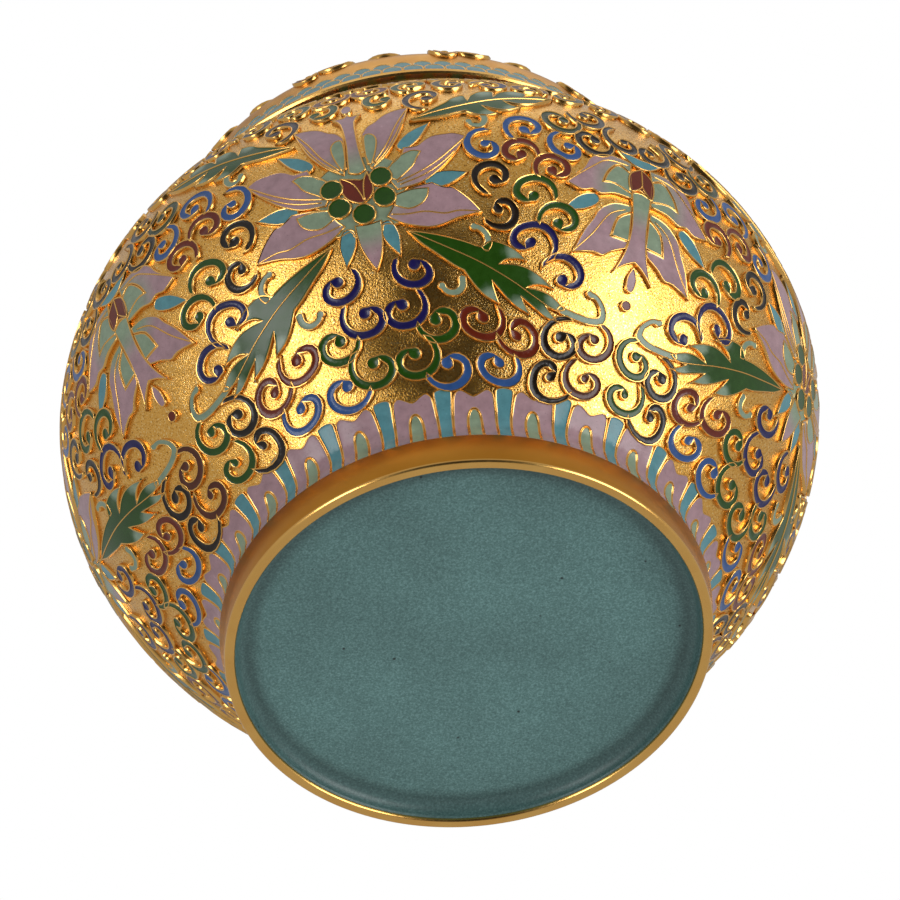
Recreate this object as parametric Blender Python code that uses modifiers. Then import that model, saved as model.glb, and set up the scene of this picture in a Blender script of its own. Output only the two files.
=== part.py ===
# Lidded ginger jar in gilt copper with raised enamel flowers.
# The jar stands on its foot ring, its axis is Z and its origin is the bottom centre of the foot.
# Both pieces are turned shells. Blossoms, leaves and scalloped borders stand proud of their ground.
import math

import bmesh
import bpy

MM = 0.001

# Foot and base
FOOT_RADIUS = 52.3 * MM
FOOT_TOP_RADIUS = 53.0 * MM
FOOT_HEIGHT = 8.1 * MM
FOOT_STEP = 0.8 * MM
FOOT_INNER_RADIUS = 50.0 * MM
FOOT_EDGE = 0.5 * MM
BASE_RECESS = 4.5 * MM
BASE_FILLET = 3.0 * MM
FLOOR_CORNER = 6.0 * MM

# Body, from the top of the foot to the bottom of the neck
BELLY_RADIUS = 84.3 * MM
SHOULDER_HEIGHT = 121.5 * MM
NECK_RADIUS = 51.6 * MM
WALL = 2.3 * MM
# Shares of the body's height, and of the way from the foot's radius out to the belly's
BODY_CURVE = (
    (0.00, 0.000), (0.06, 0.012), (0.17, 0.345), (0.30, 0.690),
    (0.46, 0.936), (0.62, 1.000), (0.78, 0.840), (0.90, 0.500),
)

# Neck and mouth
MOUTH_RADIUS = 53.7 * MM
NECK_HEIGHT = 18.5 * MM
MOUTH_HEIGHT = SHOULDER_HEIGHT + NECK_HEIGHT
MOUTH_EDGE = 0.4 * MM

# Lid
LID_CLEARANCE = 0.8 * MM
REST_GAP = 0.3 * MM
LID_WALL = 2.2 * MM
LID_SEAT_WIDTH = 3.6 * MM
LID_SHOULDER_GAP = 4.6 * MM
LID_SKIRT = NECK_HEIGHT + REST_GAP - LID_SHOULDER_GAP
LID_FLARE = 3.8 * MM
LID_EDGE_HEIGHT = 1.6 * MM
LID_EDGE_STEP = 1.2 * MM
LID_DOME_RISE = 22.4 * MM
LID_DOME_SLOPE = 40.0
LID_SEAT_STEP = 1.0 * MM

# Raised work
RELIEF = 1.2 * MM
BITE = 0.9 * MM
BAND_START = 0.15 * MM
LAPPETS = 27
LAPPET_TOP = FOOT_HEIGHT + 11.0 * MM
LAPPET_NOTCH = 1.6 * MM
LID_SCALES = 30
LID_SCALE_BAND = 8.2 * MM
LID_SCALE_NOTCH = 1.8 * MM
LID_RELIEF = 0.8 * MM
BLOSSOM_SPACING = 90.0
FRONT_BLOSSOM_ANGLE = -97.0
BLOSSOM_HEIGHT = 59.0 * MM
PETAL_NOTCH = 0.62
# Tips of the petals across and up from the blossom's centre, clockwise on one half from the top
FRONT_TIPS = (
    (0.0 * MM, 26.0 * MM), (12.4 * MM, 22.0 * MM), (24.0 * MM, 10.2 * MM),
    (24.2 * MM, -9.3 * MM), (0.0 * MM, -20.2 * MM),
)
SIDE_TIPS = (
    (5.0 * MM, 14.6 * MM), (17.5 * MM, 0.8 * MM), (14.4 * MM, -16.0 * MM), (0.0 * MM, -23.0 * MM),
)

# Leaves beside the front blossom: where the stalk starts, its rise in degrees, length and width
LOWER_LEAF = ((7.5 * MM, -12.0 * MM), -24.0, 42.0 * MM, 13.0 * MM)
UPPER_LEAF = ((12.0 * MM, 17.0 * MM), 22.0, 34.0 * MM, 10.0 * MM)
LEAF_TEETH = 3

# Fineness of the facets
TURN_STEPS = 48
CURVE_STEPS = 2
INSIDE_STRIDE = 2
LOBE_STEPS = 3


def spline(points, steps):
    """Return a smooth curve through the points, as a list of pairs."""
    ends = [points[0]] + list(points) + [points[-1]]
    curve = []
    for before, start, end, after in zip(ends, ends[1:], ends[2:], ends[3:]):
        for step in range(steps):
            t = step / steps
            curve.append(tuple(
                0.5 * (2 * b + (c - a) * t + (2 * a - 5 * b + 4 * c - d) * t * t
                       + (3 * b - a - 3 * c + d) * t ** 3)
                for a, b, c, d in zip(before, start, end, after)))
    curve.append(tuple(points[-1]))
    return curve


def arc(centre, radius, start, end, steps):
    """Return points on an arc of the profile, with its angles in degrees."""
    return [
        (centre[0] + radius * math.cos(math.radians(start + (end - start) * i / steps)),
         centre[1] + radius * math.sin(math.radians(start + (end - start) * i / steps)))
        for i in range(steps + 1)]


def offset(curve, distance):
    """Return a profile that runs upwards, moved to its left by the distance."""
    moved = []
    for index, (radius, height) in enumerate(curve):
        before = curve[max(index - 1, 0)]
        after = curve[min(index + 1, len(curve) - 1)]
        run, rise = after[0] - before[0], after[1] - before[1]
        length = math.hypot(run, rise)
        moved.append((radius - distance * rise / length, height + distance * run / length))
    return moved


def body_curve():
    """Return the ground of the body from the top of the foot to the bottom of the neck."""
    ground = FOOT_TOP_RADIUS - FOOT_STEP
    height = SHOULDER_HEIGHT - FOOT_HEIGHT
    points = [(ground + swell * (BELLY_RADIUS - ground), FOOT_HEIGHT + share * height)
              for share, swell in BODY_CURVE]
    return spline(points + [(NECK_RADIUS, SHOULDER_HEIGHT)], CURVE_STEPS)


def neck_curve():
    """Return the outside of the neck, a little flared, from its bottom to the mouth."""
    middle = ((NECK_RADIUS * 0.8 + MOUTH_RADIUS * 0.2), (SHOULDER_HEIGHT + MOUTH_HEIGHT) / 2)
    top = (MOUTH_RADIUS, MOUTH_HEIGHT - MOUTH_EDGE)
    return spline([(NECK_RADIUS, SHOULDER_HEIGHT), middle, top], 2)


def jar_profile():
    """Return the closed section of the jar, up its inside and down its outside."""
    body, neck = body_curve(), neck_curve()
    outside = [(FOOT_RADIUS - FOOT_EDGE, 0.0), (FOOT_RADIUS, FOOT_EDGE),
               (FOOT_TOP_RADIUS, FOOT_HEIGHT)] + body + neck[1:]
    outside.append((MOUTH_RADIUS - MOUTH_EDGE, MOUTH_HEIGHT))
    floor = BASE_RECESS + WALL
    shell = [point for point in offset(body + neck[1:], WALL)[::INSIDE_STRIDE]
             if floor + FLOOR_CORNER < point[1] < MOUTH_HEIGHT - WALL]
    shell.append((MOUTH_RADIUS - WALL, MOUTH_HEIGHT))
    corner = (shell[0][0] - BASE_FILLET, floor + BASE_FILLET)
    inside = [(0.0, floor)] + arc(corner, BASE_FILLET, -90, -20, 3) + shell
    under = [(FOOT_INNER_RADIUS, 0.0)]
    under += arc((FOOT_INNER_RADIUS - BASE_FILLET, BASE_RECESS - BASE_FILLET),
                 BASE_FILLET, 0, 90, 3)
    under.append((0.0, BASE_RECESS))
    return inside + list(reversed(outside)) + under


def lid_curve():
    """Return the ground of the lid's outside, from above the gilt edge to the crown."""
    rim = MOUTH_HEIGHT + REST_GAP - LID_SKIRT
    bend = MOUTH_RADIUS + LID_CLEARANCE + LID_WALL
    foot = (bend + LID_FLARE, rim + LID_EDGE_HEIGHT)
    shoulder = (bend, rim + LID_SKIRT)
    waist = (bend + LID_FLARE * 0.42, rim + LID_SKIRT * 0.55)
    top = rim + LID_SKIRT + LID_DOME_RISE
    sphere = 0.935 * bend / math.sin(math.radians(LID_DOME_SLOPE))
    dome = [(sphere * math.sin(math.radians(LID_DOME_SLOPE * share)),
             top - sphere * (1.0 - math.cos(math.radians(LID_DOME_SLOPE * share))))
            for share in (1.0, 0.75, 0.5, 0.25)]
    return spline([foot, waist, shoulder] + dome + [(0.0, top)], 2)


def lid_profile():
    """Return the closed section of the lid, down its outside and up its inside."""
    outside = lid_curve()
    rim = MOUTH_HEIGHT + REST_GAP - LID_SKIRT
    edge_radius = outside[0][0] + LID_EDGE_STEP
    edge = [(edge_radius - LID_WALL, rim), (edge_radius, rim),
            (edge_radius, rim + LID_EDGE_HEIGHT * 0.9)]
    seat_radius = MOUTH_RADIUS + LID_CLEARANCE
    seat_height = MOUTH_HEIGHT + REST_GAP
    seat_inner = seat_radius - LID_SEAT_WIDTH
    dome = [point for point in offset(outside, LID_WALL)
            if point[0] < seat_inner - LID_SEAT_STEP
            and point[1] > seat_height + LID_SEAT_STEP]
    dome[-1] = (0.0, outside[-1][1] - LID_WALL)
    inside = [(seat_radius, seat_height), (seat_inner, seat_height)] + dome
    return list(reversed(outside)) + list(reversed(edge)) + inside


def turned(name, profile):
    """Return an object whose closed section is turned about Z by a Screw modifier."""
    mesh = bpy.data.meshes.new(name)
    ends = [(index, index + 1) for index in range(len(profile) - 1)]
    mesh.from_pydata([(radius, 0.0, height) for radius, height in profile], ends, [])
    piece = bpy.data.objects.new(name, mesh)
    screw = piece.modifiers.new("Turning", 'SCREW')
    screw.axis = 'Z'
    screw.steps = TURN_STEPS
    screw.render_steps = TURN_STEPS
    screw.use_merge_vertices = True
    screw.merge_threshold = 0.00001
    return piece


class Surface:
    """The outside of a turned shell, by angle and by length along its profile."""

    def __init__(self, curve):
        self.curve = curve
        self.lengths = [0.0]
        for first, second in zip(curve, curve[1:]):
            self.lengths.append(self.lengths[-1] + math.dist(first, second))

    def length_at(self, height):
        """Return the length along the profile at which it reaches a height."""
        for index, (first, second) in enumerate(zip(self.curve, self.curve[1:])):
            if first[1] <= height <= second[1]:
                share = (height - first[1]) / (second[1] - first[1])
                return self.lengths[index] + share * (self.lengths[index + 1] - self.lengths[index])
        return self.lengths[-1]

    def at(self, length):
        """Return radius, height and the outward direction at a length along the profile."""
        last = len(self.curve) - 2
        index = max(i for i in range(last + 1) if self.lengths[i] <= max(length, 0.0))
        first, second = self.curve[index], self.curve[index + 1]
        span = self.lengths[index + 1] - self.lengths[index]
        share = (length - self.lengths[index]) / span
        radius = first[0] + share * (second[0] - first[0])
        height = first[1] + share * (second[1] - first[1])
        return radius, height, ((second[1] - first[1]) / span, (first[0] - second[0]) / span)

    def point(self, angle, length, lift):
        """Return the point at an angle and a profile length, lifted off the ground."""
        radius, height, normal = self.at(length)
        radius += lift * normal[0]
        turn = math.radians(angle)
        return (radius * math.cos(turn), radius * math.sin(turn), height + lift * normal[1])

    def place(self, angle, height, across, along, lift):
        """Return the point so far across and along from a centre on the surface."""
        length = self.length_at(height) + along
        radius = self.at(length)[0]
        return self.point(angle + math.degrees(across / radius), length, lift)


def add_plate(mesh, surface, angle, height, outline, lift):
    """Add a closed plate that follows the surface, with the outline round its centre."""
    middle = (sum(x for x, y in outline) / len(outline), sum(y for x, y in outline) / len(outline))
    layers = []
    for level in (lift, -BITE):
        rings = []
        for share in (1.0, 0.5):
            rings.append([mesh.verts.new(surface.place(
                angle, height, middle[0] + share * (x - middle[0]),
                middle[1] + share * (y - middle[1]), level)) for x, y in outline])
        centre = mesh.verts.new(surface.place(angle, height, middle[0], middle[1], level))
        layers.append((rings, centre))
    (upper, top), (lower, bottom) = layers
    count = len(outline)
    for i in range(count):
        j = (i + 1) % count
        mesh.faces.new((upper[0][i], upper[0][j], upper[1][j], upper[1][i]))
        mesh.faces.new((upper[1][i], upper[1][j], top))
        mesh.faces.new((lower[0][j], lower[0][i], lower[1][i], lower[1][j]))
        mesh.faces.new((lower[1][j], lower[1][i], bottom))
        mesh.faces.new((upper[0][j], upper[0][i], lower[0][i], lower[0][j]))


def blossom_outline(tips):
    """Return a star of pointed petals from the tips on one half, mirrored about the middle."""
    mirrored = [(-x, y) for x, y in reversed(tips) if x > 0.0]
    around = list(tips) + mirrored
    outline = []
    for tip, following in zip(around, around[1:] + around[:1]):
        outline.append(tip)
        outline.append(tuple(PETAL_NOTCH * (a + b) / 2 for a, b in zip(tip, following)))
    return outline


def leaf_outline(leaf, mirror):
    """Return a long leaf with toothed sides, to the right of the blossom or mirrored."""
    (start_x, start_y), rise, length, width = leaf
    turn = math.radians(rise)
    steps = LEAF_TEETH * 2
    edges = []
    for side in (-1, 1):
        edge = []
        for step in range(1, steps):
            share = step / steps
            tooth = 0.78 if step % 2 else 1.0
            edge.append((length * share, side * 0.5 * width * tooth * math.sin(math.pi * share ** 0.8)))
        edges.append(edge)
    flat = [(0.0, 0.0)] + edges[0] + [(length, 0.0)] + list(reversed(edges[1]))
    return [(mirror * (start_x + x * math.cos(turn) - y * math.sin(turn)),
             start_y + x * math.sin(turn) + y * math.cos(turn)) for x, y in flat]


def add_scalloped_band(mesh, surface, start, top, notch, lobes, lift):
    """Add a closed ring round the surface whose upper edge is a row of round lobes."""
    segments = lobes * LOBE_STEPS
    rings = []
    for step in range(segments):
        angle = 360.0 * step / segments
        edge = top - notch * (1.0 - math.sin(math.pi * (step % LOBE_STEPS) / LOBE_STEPS))
        lengths = (start, (start + top) / 2, edge)
        outer = [mesh.verts.new(surface.point(angle, length, lift)) for length in lengths]
        inner = [mesh.verts.new(surface.point(angle, length, -BITE)) for length in lengths]
        rings.append(outer + list(reversed(inner)))
    for ring, following in zip(rings, rings[1:] + rings[:1]):
        for i in range(6):
            j = (i + 1) % 6
            mesh.faces.new((ring[i], following[i], following[j], ring[j]))


def relief_object(name, build):
    """Return a hidden object that holds the raised plates and bands of one piece."""
    mesh = bmesh.new()
    build(mesh)
    bmesh.ops.recalc_face_normals(mesh, faces=mesh.faces)
    data = bpy.data.meshes.new(name)
    mesh.to_mesh(data)
    mesh.free()
    relief = bpy.data.objects.new(name, data)
    relief.hide_render = True
    relief.display_type = 'WIRE'
    return relief


def jar_relief(mesh):
    """Add the lappet band, the blossoms and their leaves to the jar's relief."""
    surface = Surface(body_curve())
    band_top = surface.length_at(LAPPET_TOP)
    add_scalloped_band(mesh, surface, BAND_START, band_top, LAPPET_NOTCH, LAPPETS, RELIEF)
    for turn in range(int(360 / BLOSSOM_SPACING)):
        front = FRONT_BLOSSOM_ANGLE + turn * BLOSSOM_SPACING
        add_plate(mesh, surface, front, BLOSSOM_HEIGHT, blossom_outline(FRONT_TIPS), RELIEF)
        for leaf in (LOWER_LEAF, UPPER_LEAF):
            for mirror in (1, -1):
                add_plate(mesh, surface, front, BLOSSOM_HEIGHT, leaf_outline(leaf, mirror), RELIEF)
        add_plate(mesh, surface, front + BLOSSOM_SPACING / 2, BLOSSOM_HEIGHT,
                  blossom_outline(SIDE_TIPS), RELIEF)


def lid_relief(mesh):
    """Add the band of scales above the lid's gilt edge."""
    surface = Surface(lid_curve())
    add_scalloped_band(mesh, surface, BAND_START, LID_SCALE_BAND, LID_SCALE_NOTCH,
                       LID_SCALES, LID_RELIEF)


def join_relief(piece, relief):
    """Fuse the raised work to its piece with a Boolean union."""
    union = piece.modifiers.new("Raised work", 'BOOLEAN')
    union.operation = 'UNION'
    union.solver = 'EXACT'
    union.use_self = True
    union.object = relief


def material(name, color, roughness, metallic):
    """Return a Principled material."""
    finish = bpy.data.materials.new(name)
    finish.use_nodes = True
    shader = finish.node_tree.nodes["Principled BSDF"]
    shader.inputs["Base Color"].default_value = (*color, 1.0)
    shader.inputs["Roughness"].default_value = roughness
    shader.inputs["Metallic"].default_value = metallic
    return finish


def main():
    for item in list(bpy.data.objects):
        bpy.data.objects.remove(item, do_unlink=True)
    jar = bpy.data.collections.new("ginger_jar")
    raised = bpy.data.collections.new("ginger_jar_raised_work")
    bpy.context.scene.collection.children.link(jar)
    bpy.context.scene.collection.children.link(raised)
    gilt = material("Gilt copper with enamel", (0.80, 0.52, 0.16), 0.28, 1.0)
    pieces = (
        ("jar_body", jar_profile(), jar_relief),
        ("lid", lid_profile(), lid_relief),
    )
    for name, profile, build in pieces:
        piece = turned(name, profile)
        piece.data.materials.append(gilt)
        jar.objects.link(piece)
        relief = relief_object(name + "_raised_work", build)
        raised.objects.link(relief)
        join_relief(piece, relief)
        piece.data.shade_smooth()
    bpy.context.view_layer.update()


main()
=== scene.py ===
"""Dresses a lidded ginger jar in gilt copper and fired enamel cells, in its own studio.

Lengths are in millimetres in the drawing functions and in metres in Blender. Ornament is drawn
flat, as outlines of cells on an unrolled ground, and is then wrapped round the jar or its lid.
"""
import math

import bmesh
import bpy
from mathutils import Matrix, Vector


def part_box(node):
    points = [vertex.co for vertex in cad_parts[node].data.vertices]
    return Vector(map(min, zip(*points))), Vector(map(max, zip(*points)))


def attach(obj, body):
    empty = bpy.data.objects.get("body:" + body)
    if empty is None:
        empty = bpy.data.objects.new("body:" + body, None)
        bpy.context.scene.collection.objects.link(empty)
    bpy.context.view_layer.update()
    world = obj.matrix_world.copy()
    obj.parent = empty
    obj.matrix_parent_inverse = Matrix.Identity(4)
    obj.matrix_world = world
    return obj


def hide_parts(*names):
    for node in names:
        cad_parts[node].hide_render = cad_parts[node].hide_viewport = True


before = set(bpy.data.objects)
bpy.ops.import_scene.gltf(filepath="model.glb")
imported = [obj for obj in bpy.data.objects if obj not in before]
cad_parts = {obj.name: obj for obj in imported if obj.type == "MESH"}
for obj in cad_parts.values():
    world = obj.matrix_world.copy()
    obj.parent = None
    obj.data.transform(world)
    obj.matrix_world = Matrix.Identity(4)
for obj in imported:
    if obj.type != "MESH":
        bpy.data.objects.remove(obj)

bl_info = {
    "name": "Champleve Ginger Jar",
    "version": (1, 0, 0),
    "blender": (4, 5, 0),
    "location": "3D View > Sidebar > Ginger Jar",
    "description": "Dresses a lidded ginger jar in gilt copper and fired enamel",
    "category": "Object",
}

MM = 0.001
PHOTO_SIZE = 900

# The jar's frame, in millimetres
MOUTH_HEIGHT = (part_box("jar_body")[1] / MM).z
LID_RIM_HEIGHT, CROWN_HEIGHT = ((corner / MM).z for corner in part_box("lid"))

# Foot and base
FOOT_RADIUS = 52.3
FOOT_TOP_RADIUS = 53.0
FOOT_HEIGHT = 8.1
FOOT_STEP = 0.8
FOOT_INNER_RADIUS = 50.0
FOOT_EDGE = 0.8
BASE_RECESS = 4.5
BASE_FILLET = 3.0

# Counter enamel: how far it reaches into the shell behind it, and the two distances from the foot
# ring between which it darkens under the base, partly enamel lying thicker in the fillet and partly
# a painted shadow of the foot ring
SKIN_OVERLAP = 0.05
BASE_SHADE = (6.0, 2.5)

# Body: shares of its height, and of the way from the foot's radius out to the belly's
BELLY_RADIUS = 84.3
SHOULDER_HEIGHT = 121.5
NECK_RADIUS = 51.6
MOUTH_RADIUS = 53.7
NECK_FLARE = 0.2
MOUTH_EDGE = 0.4
POLISHED_RIM = 1.6
WALL = 2.3
BODY_CURVE = (
    (0.00, 0.000), (0.06, 0.012), (0.17, 0.345), (0.30, 0.690),
    (0.46, 0.936), (0.62, 1.000), (0.78, 0.840), (0.90, 0.500),
)

# Lid: its waist is given as shares of the flare and the skirt, its dome as a rise, a slope in
# degrees at the foot, and the share of the lid's width that it takes up there
LID_CLEARANCE = 0.8
REST_GAP = 0.3
LID_WALL = 2.2
LID_SEAT_WIDTH = 3.6
LID_FLARE = 3.8
LID_EDGE_HEIGHT = 1.6
LID_EDGE_STEP = 1.2
LID_WAIST = (0.42, 0.55)
LID_DOME_RISE = 22.4
LID_DOME_SLOPE = 40.0
LID_DOME_SHARE = 0.935
LID_SKIRT = MOUTH_HEIGHT + REST_GAP - LID_RIM_HEIGHT

# Height of the blossoms' centres, and the angles of their axes in degrees: a front blossom first,
# then side and front blossoms in turn
BLOSSOM_HEIGHT = 59.0
SIDE_BLOSSOM_RISE = 3.1
AXES = (-96.9, -53.8, -9.5, 36.1, 81.7, 127.2, 172.8, 218.4)
DRAWN_WEDGE = AXES[1] - AXES[0]

# Fineness of the meshes
TURN_STEPS = 180
CURVE_STEPS = 8
ENAMEL_GRID = 3.0
LEAF_GRID = 1.3
INSET_LIMIT = 2.5

# Round knobs at the ends of bands: steps round one, the widest opening towards its band, and
# how far from it the band's sides end, as shares of its radius
KNOB_STEPS = 10
KNOB_OPENING = 0.9
KNOB_ROOM = 1.12

# Shares of a spiral's path over which it comes to its middle radius, and to that of its knob
SPIRAL_LOOP = (0.0, 0.45)
SPIRAL_END = (0.62, 1.08)

# Height of a wire on the enamel
WIRE_HEIGHT = 0.4


def linear(code):
    """Return the linear colour of an sRGB hex value."""
    values = [int(code[i:i + 2], 16) / 255 for i in (1, 3, 5)]
    return tuple(v / 12.92 if v <= 0.04045 else ((v + 0.055) / 1.055) ** 2.4 for v in values)


def blend(first, second, share):
    """Return a colour between two, with the share kept from 0 to 1."""
    share = min(max(share, 0.0), 1.0)
    return tuple(a + (b - a) * share for a, b in zip(first, second))


def ease(value, low, high):
    """Return how far a value is from low to high, smoothed at both ends."""
    share = min(max((value - low) / (high - low), 0.0), 1.0)
    return share * share * (3 - 2 * share)


# Settings that a user would change

def colour(name, description, code):
    return bpy.props.FloatVectorProperty(
        name=name, description=description, subtype='COLOR', size=3, min=0.0, max=1.0,
        default=linear(code))


def length(name, description, size, largest):
    return bpy.props.FloatProperty(
        name=name, description=description, subtype='DISTANCE', unit='LENGTH', precision=5,
        min=0.0, max=largest * MM, default=size * MM)


class JarSizes(bpy.types.PropertyGroup):
    wire_width: length("Wire width", "Width of the gilt wire round a cell", 0.30, 1.0)
    wire_ridge: length("Wire ridge", "Height of a wire's rounded top over its cell", 0.10, 0.5)
    cell_height: length("Cell height", "Height of the enamel over the gilt ground", 0.75, 2.0)
    cell_root: length("Cell root", "Depth to which a cell reaches into the ground", 0.5, 1.0)
    enamel_dip: length("Enamel dip", "How far the enamel lies under its wire", 0.06, 0.5)
    meniscus: length("Meniscus", "Width of the enamel's rounded edge", 0.34, 1.0)
    enamel_skin: length("Enamel skin", "Thickness of the enamel inside and under the jar", 0.35, 1.0)
    punch_spacing: length("Punch spacing", "Distance between the punched grains", 0.30, 5.0)


class EnamelColours(bpy.types.PropertyGroup):
    pink: colour("Pink", "Petals", "#9A7C82")
    light_green: colour("Light green", "Hearts of the petals", "#7C8D75")
    turquoise: colour("Turquoise", "Sepals, bars and scales", "#50828A")
    dark_green: colour("Dark green", "Leaves and beads", "#20420A")
    mint: colour("Mint", "Tips of the leaves", "#7B8D78")
    navy: colour("Navy", "Dark blue scrolls", "#1A164A")
    blue: colour("Blue", "Bright blue scrolls", "#2C4C80")
    red: colour("Dark red", "Buds and red scrolls", "#60200F")
    brown: colour("Brown", "Red brown scrolls", "#4C2312")
    black: colour("Black", "Black scrolls", "#1A110A")
    plum: colour("Plum", "Purple black scrolls", "#24131F")
    olive: colour("Olive", "Olive green scrolls", "#2A3410")
    teal: colour("Teal", "Counter enamel inside and under the jar", "#5B827F")
    teal_light: colour("Light teal", "Pale grains of the counter enamel", "#88B0AF")


class GiltColours(bpy.types.PropertyGroup):
    wire: colour("Wire", "Polished gilding on wires, foot and rims", "#F0C270")
    ground: colour("Ground", "Punched gilding between the cells", "#EEB458")
    # Painted light on the punched ground: its dark grains are painted shade in the pits, its bright
    # grains are painted glints
    pit_shade: colour("Hollows", "Dark grains of the punched ground", "#8A5C24")
    painted_glint: colour("Sparks", "Bright grains of the punched ground", "#FFE4A8")


def sizes():
    return bpy.context.scene.jar_sizes


def enamel():
    return bpy.context.scene.jar_enamel


def gilt():
    return bpy.context.scene.jar_gilt


def tint(name):
    """Return an enamel colour of the palette as a tuple."""
    return tuple(getattr(enamel(), name))


# Profiles

def spline(points, steps):
    """Return a smooth curve through the points."""
    ends = [points[0]] + list(points) + [points[-1]]
    curve = []
    for before, start, end, after in zip(ends, ends[1:], ends[2:], ends[3:]):
        curve += span(before, start, end, after, steps)
    curve.append(tuple(points[-1]))
    return curve


def span(before, start, end, after, steps):
    """Return the points of one stretch of a curve, without its last one."""
    points = []
    for step in range(steps):
        t = step / steps
        points.append(tuple(
            0.5 * (2 * b + (c - a) * t + (2 * a - 5 * b + 4 * c - d) * t * t
                   + (3 * b - a - 3 * c + d) * t ** 3)
            for a, b, c, d in zip(before, start, end, after)))
    return points


def arc(centre, radius, start, end, steps):
    """Return points on an arc, with its angles in degrees."""
    turns = [math.radians(start + (end - start) * step / steps) for step in range(steps + 1)]
    return [(centre[0] + radius * math.cos(turn), centre[1] + radius * math.sin(turn))
            for turn in turns]


def offset(curve, distance):
    """Return a profile that runs upwards, moved to its left by the distance."""
    moved = []
    for index, (radius, height) in enumerate(curve):
        before = curve[max(index - 1, 0)]
        after = curve[min(index + 1, len(curve) - 1)]
        run, rise = after[0] - before[0], after[1] - before[1]
        reach = math.hypot(run, rise)
        moved.append((radius - distance * rise / reach, height + distance * run / reach))
    return moved


def body_curve():
    """Return the ground of the body from the top of the foot to the bottom of the neck."""
    ground = FOOT_TOP_RADIUS - FOOT_STEP
    height = SHOULDER_HEIGHT - FOOT_HEIGHT
    points = [(ground + swell * (BELLY_RADIUS - ground), FOOT_HEIGHT + share * height)
              for share, swell in BODY_CURVE]
    return spline(points + [(NECK_RADIUS, SHOULDER_HEIGHT)], CURVE_STEPS)


def neck_curve():
    """Return the outside of the neck, a little flared, from its bottom to the mouth."""
    middle = (NECK_RADIUS * (1.0 - NECK_FLARE) + MOUTH_RADIUS * NECK_FLARE,
              (SHOULDER_HEIGHT + MOUTH_HEIGHT) / 2)
    top = (MOUTH_RADIUS, MOUTH_HEIGHT - MOUTH_EDGE)
    return spline([(NECK_RADIUS, SHOULDER_HEIGHT), middle, top], CURVE_STEPS)


def lid_curve():
    """Return the ground of the lid's outside, from above the gilt edge to the crown."""
    rim = LID_RIM_HEIGHT
    bend = MOUTH_RADIUS + LID_CLEARANCE + LID_WALL
    foot = (bend + LID_FLARE, rim + LID_EDGE_HEIGHT)
    shoulder = (bend, rim + LID_SKIRT)
    waist = (bend + LID_FLARE * LID_WAIST[0], rim + LID_SKIRT * LID_WAIST[1])
    top = rim + LID_SKIRT + LID_DOME_RISE
    sphere = LID_DOME_SHARE * bend / math.sin(math.radians(LID_DOME_SLOPE))
    dome = [(sphere * math.sin(math.radians(LID_DOME_SLOPE * share)),
             top - sphere * (1.0 - math.cos(math.radians(LID_DOME_SLOPE * share))))
            for share in (1.0, 0.75, 0.5, 0.25)]
    return spline([foot, waist, shoulder] + dome + [(0.0, top)], CURVE_STEPS)


class Ground:
    """The outside of a turned shell, by angle and by length along its profile."""

    def __init__(self, curve):
        self.curve = curve
        self.lengths = [0.0]
        for first, second in zip(curve, curve[1:]):
            self.lengths.append(self.lengths[-1] + math.dist(first, second))
        self.normals = []
        for index in range(len(curve)):
            before = curve[max(index - 1, 0)]
            after = curve[min(index + 1, len(curve) - 1)]
            reach = math.dist(before, after)
            self.normals.append(((after[1] - before[1]) / reach, (before[0] - after[0]) / reach))

    def total(self):
        return self.lengths[-1]

    def length_at(self, height):
        """Return the length along the profile at which it reaches a height."""
        for index, (first, second) in enumerate(zip(self.curve, self.curve[1:])):
            if first[1] <= height <= second[1]:
                share = (height - first[1]) / (second[1] - first[1])
                return self.lengths[index] + share * (self.lengths[index + 1] - self.lengths[index])
        return self.lengths[-1]

    def at(self, run):
        """Return radius, height and outward direction at a length along the profile."""
        low, high = 0, len(self.curve) - 2
        while low < high:
            middle = (low + high + 1) // 2
            if self.lengths[middle] <= run:
                low = middle
            else:
                high = middle - 1
        share = (run - self.lengths[low]) / (self.lengths[low + 1] - self.lengths[low])
        radius, height = (a + share * (b - a)
                          for a, b in zip(self.curve[low], self.curve[low + 1]))
        bounded = min(max(share, 0.0), 1.0)
        normal = [a + bounded * (b - a)
                  for a, b in zip(self.normals[low], self.normals[low + 1])]
        return radius, height, normal

    def point(self, angle, run, lift):
        """Return the point in metres at an angle in degrees and a length along the profile."""
        radius, height, normal = self.at(run)
        radius += lift * normal[0]
        turn = math.radians(angle)
        return Vector((radius * math.cos(turn), radius * math.sin(turn),
                       height + lift * normal[1])) * MM


def on_wedge(ground, index, side, middle_run):
    """Return a function that lays a flat point beside one blossom's axis on the jar.

    side is 1 for the wedge after the axis and -1 for the one before it, or 0 for both. The
    flat x is a true length in the drawn wedge, and stretches a little where a wedge is wider.
    """
    axis = AXES[index]
    after = (AXES[(index + 1) % len(AXES)] - axis) % 360
    before = (axis - AXES[index - 1]) % 360

    def place(x, y, lift):
        run = middle_run + y
        radius = ground.at(run)[0]
        share = math.degrees(x / radius) / DRAWN_WEDGE
        if side:
            share *= side
        gap = after if share > 0 else before
        return ground.point(axis + share * gap, run, lift)

    return place


def on_ring(ground, angle, start_run, stretch=1.0, way=1):
    """Return a function that lays a flat point at an angle, up or down a turned ground."""
    def place(x, y, lift):
        run = start_run + way * y
        radius = ground.at(run)[0]
        return ground.point(angle + math.degrees(stretch * x / radius), run, lift)

    return place


def on_crown(ground, angle):
    """Return a function that lays a flat point on the lid's crown, round its middle."""
    def place(x, y, lift):
        turn = math.degrees(math.atan2(y, x)) + angle
        return ground.point(turn, ground.total() - math.hypot(x, y), lift)

    return place


# Flat outlines, in millimetres

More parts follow.
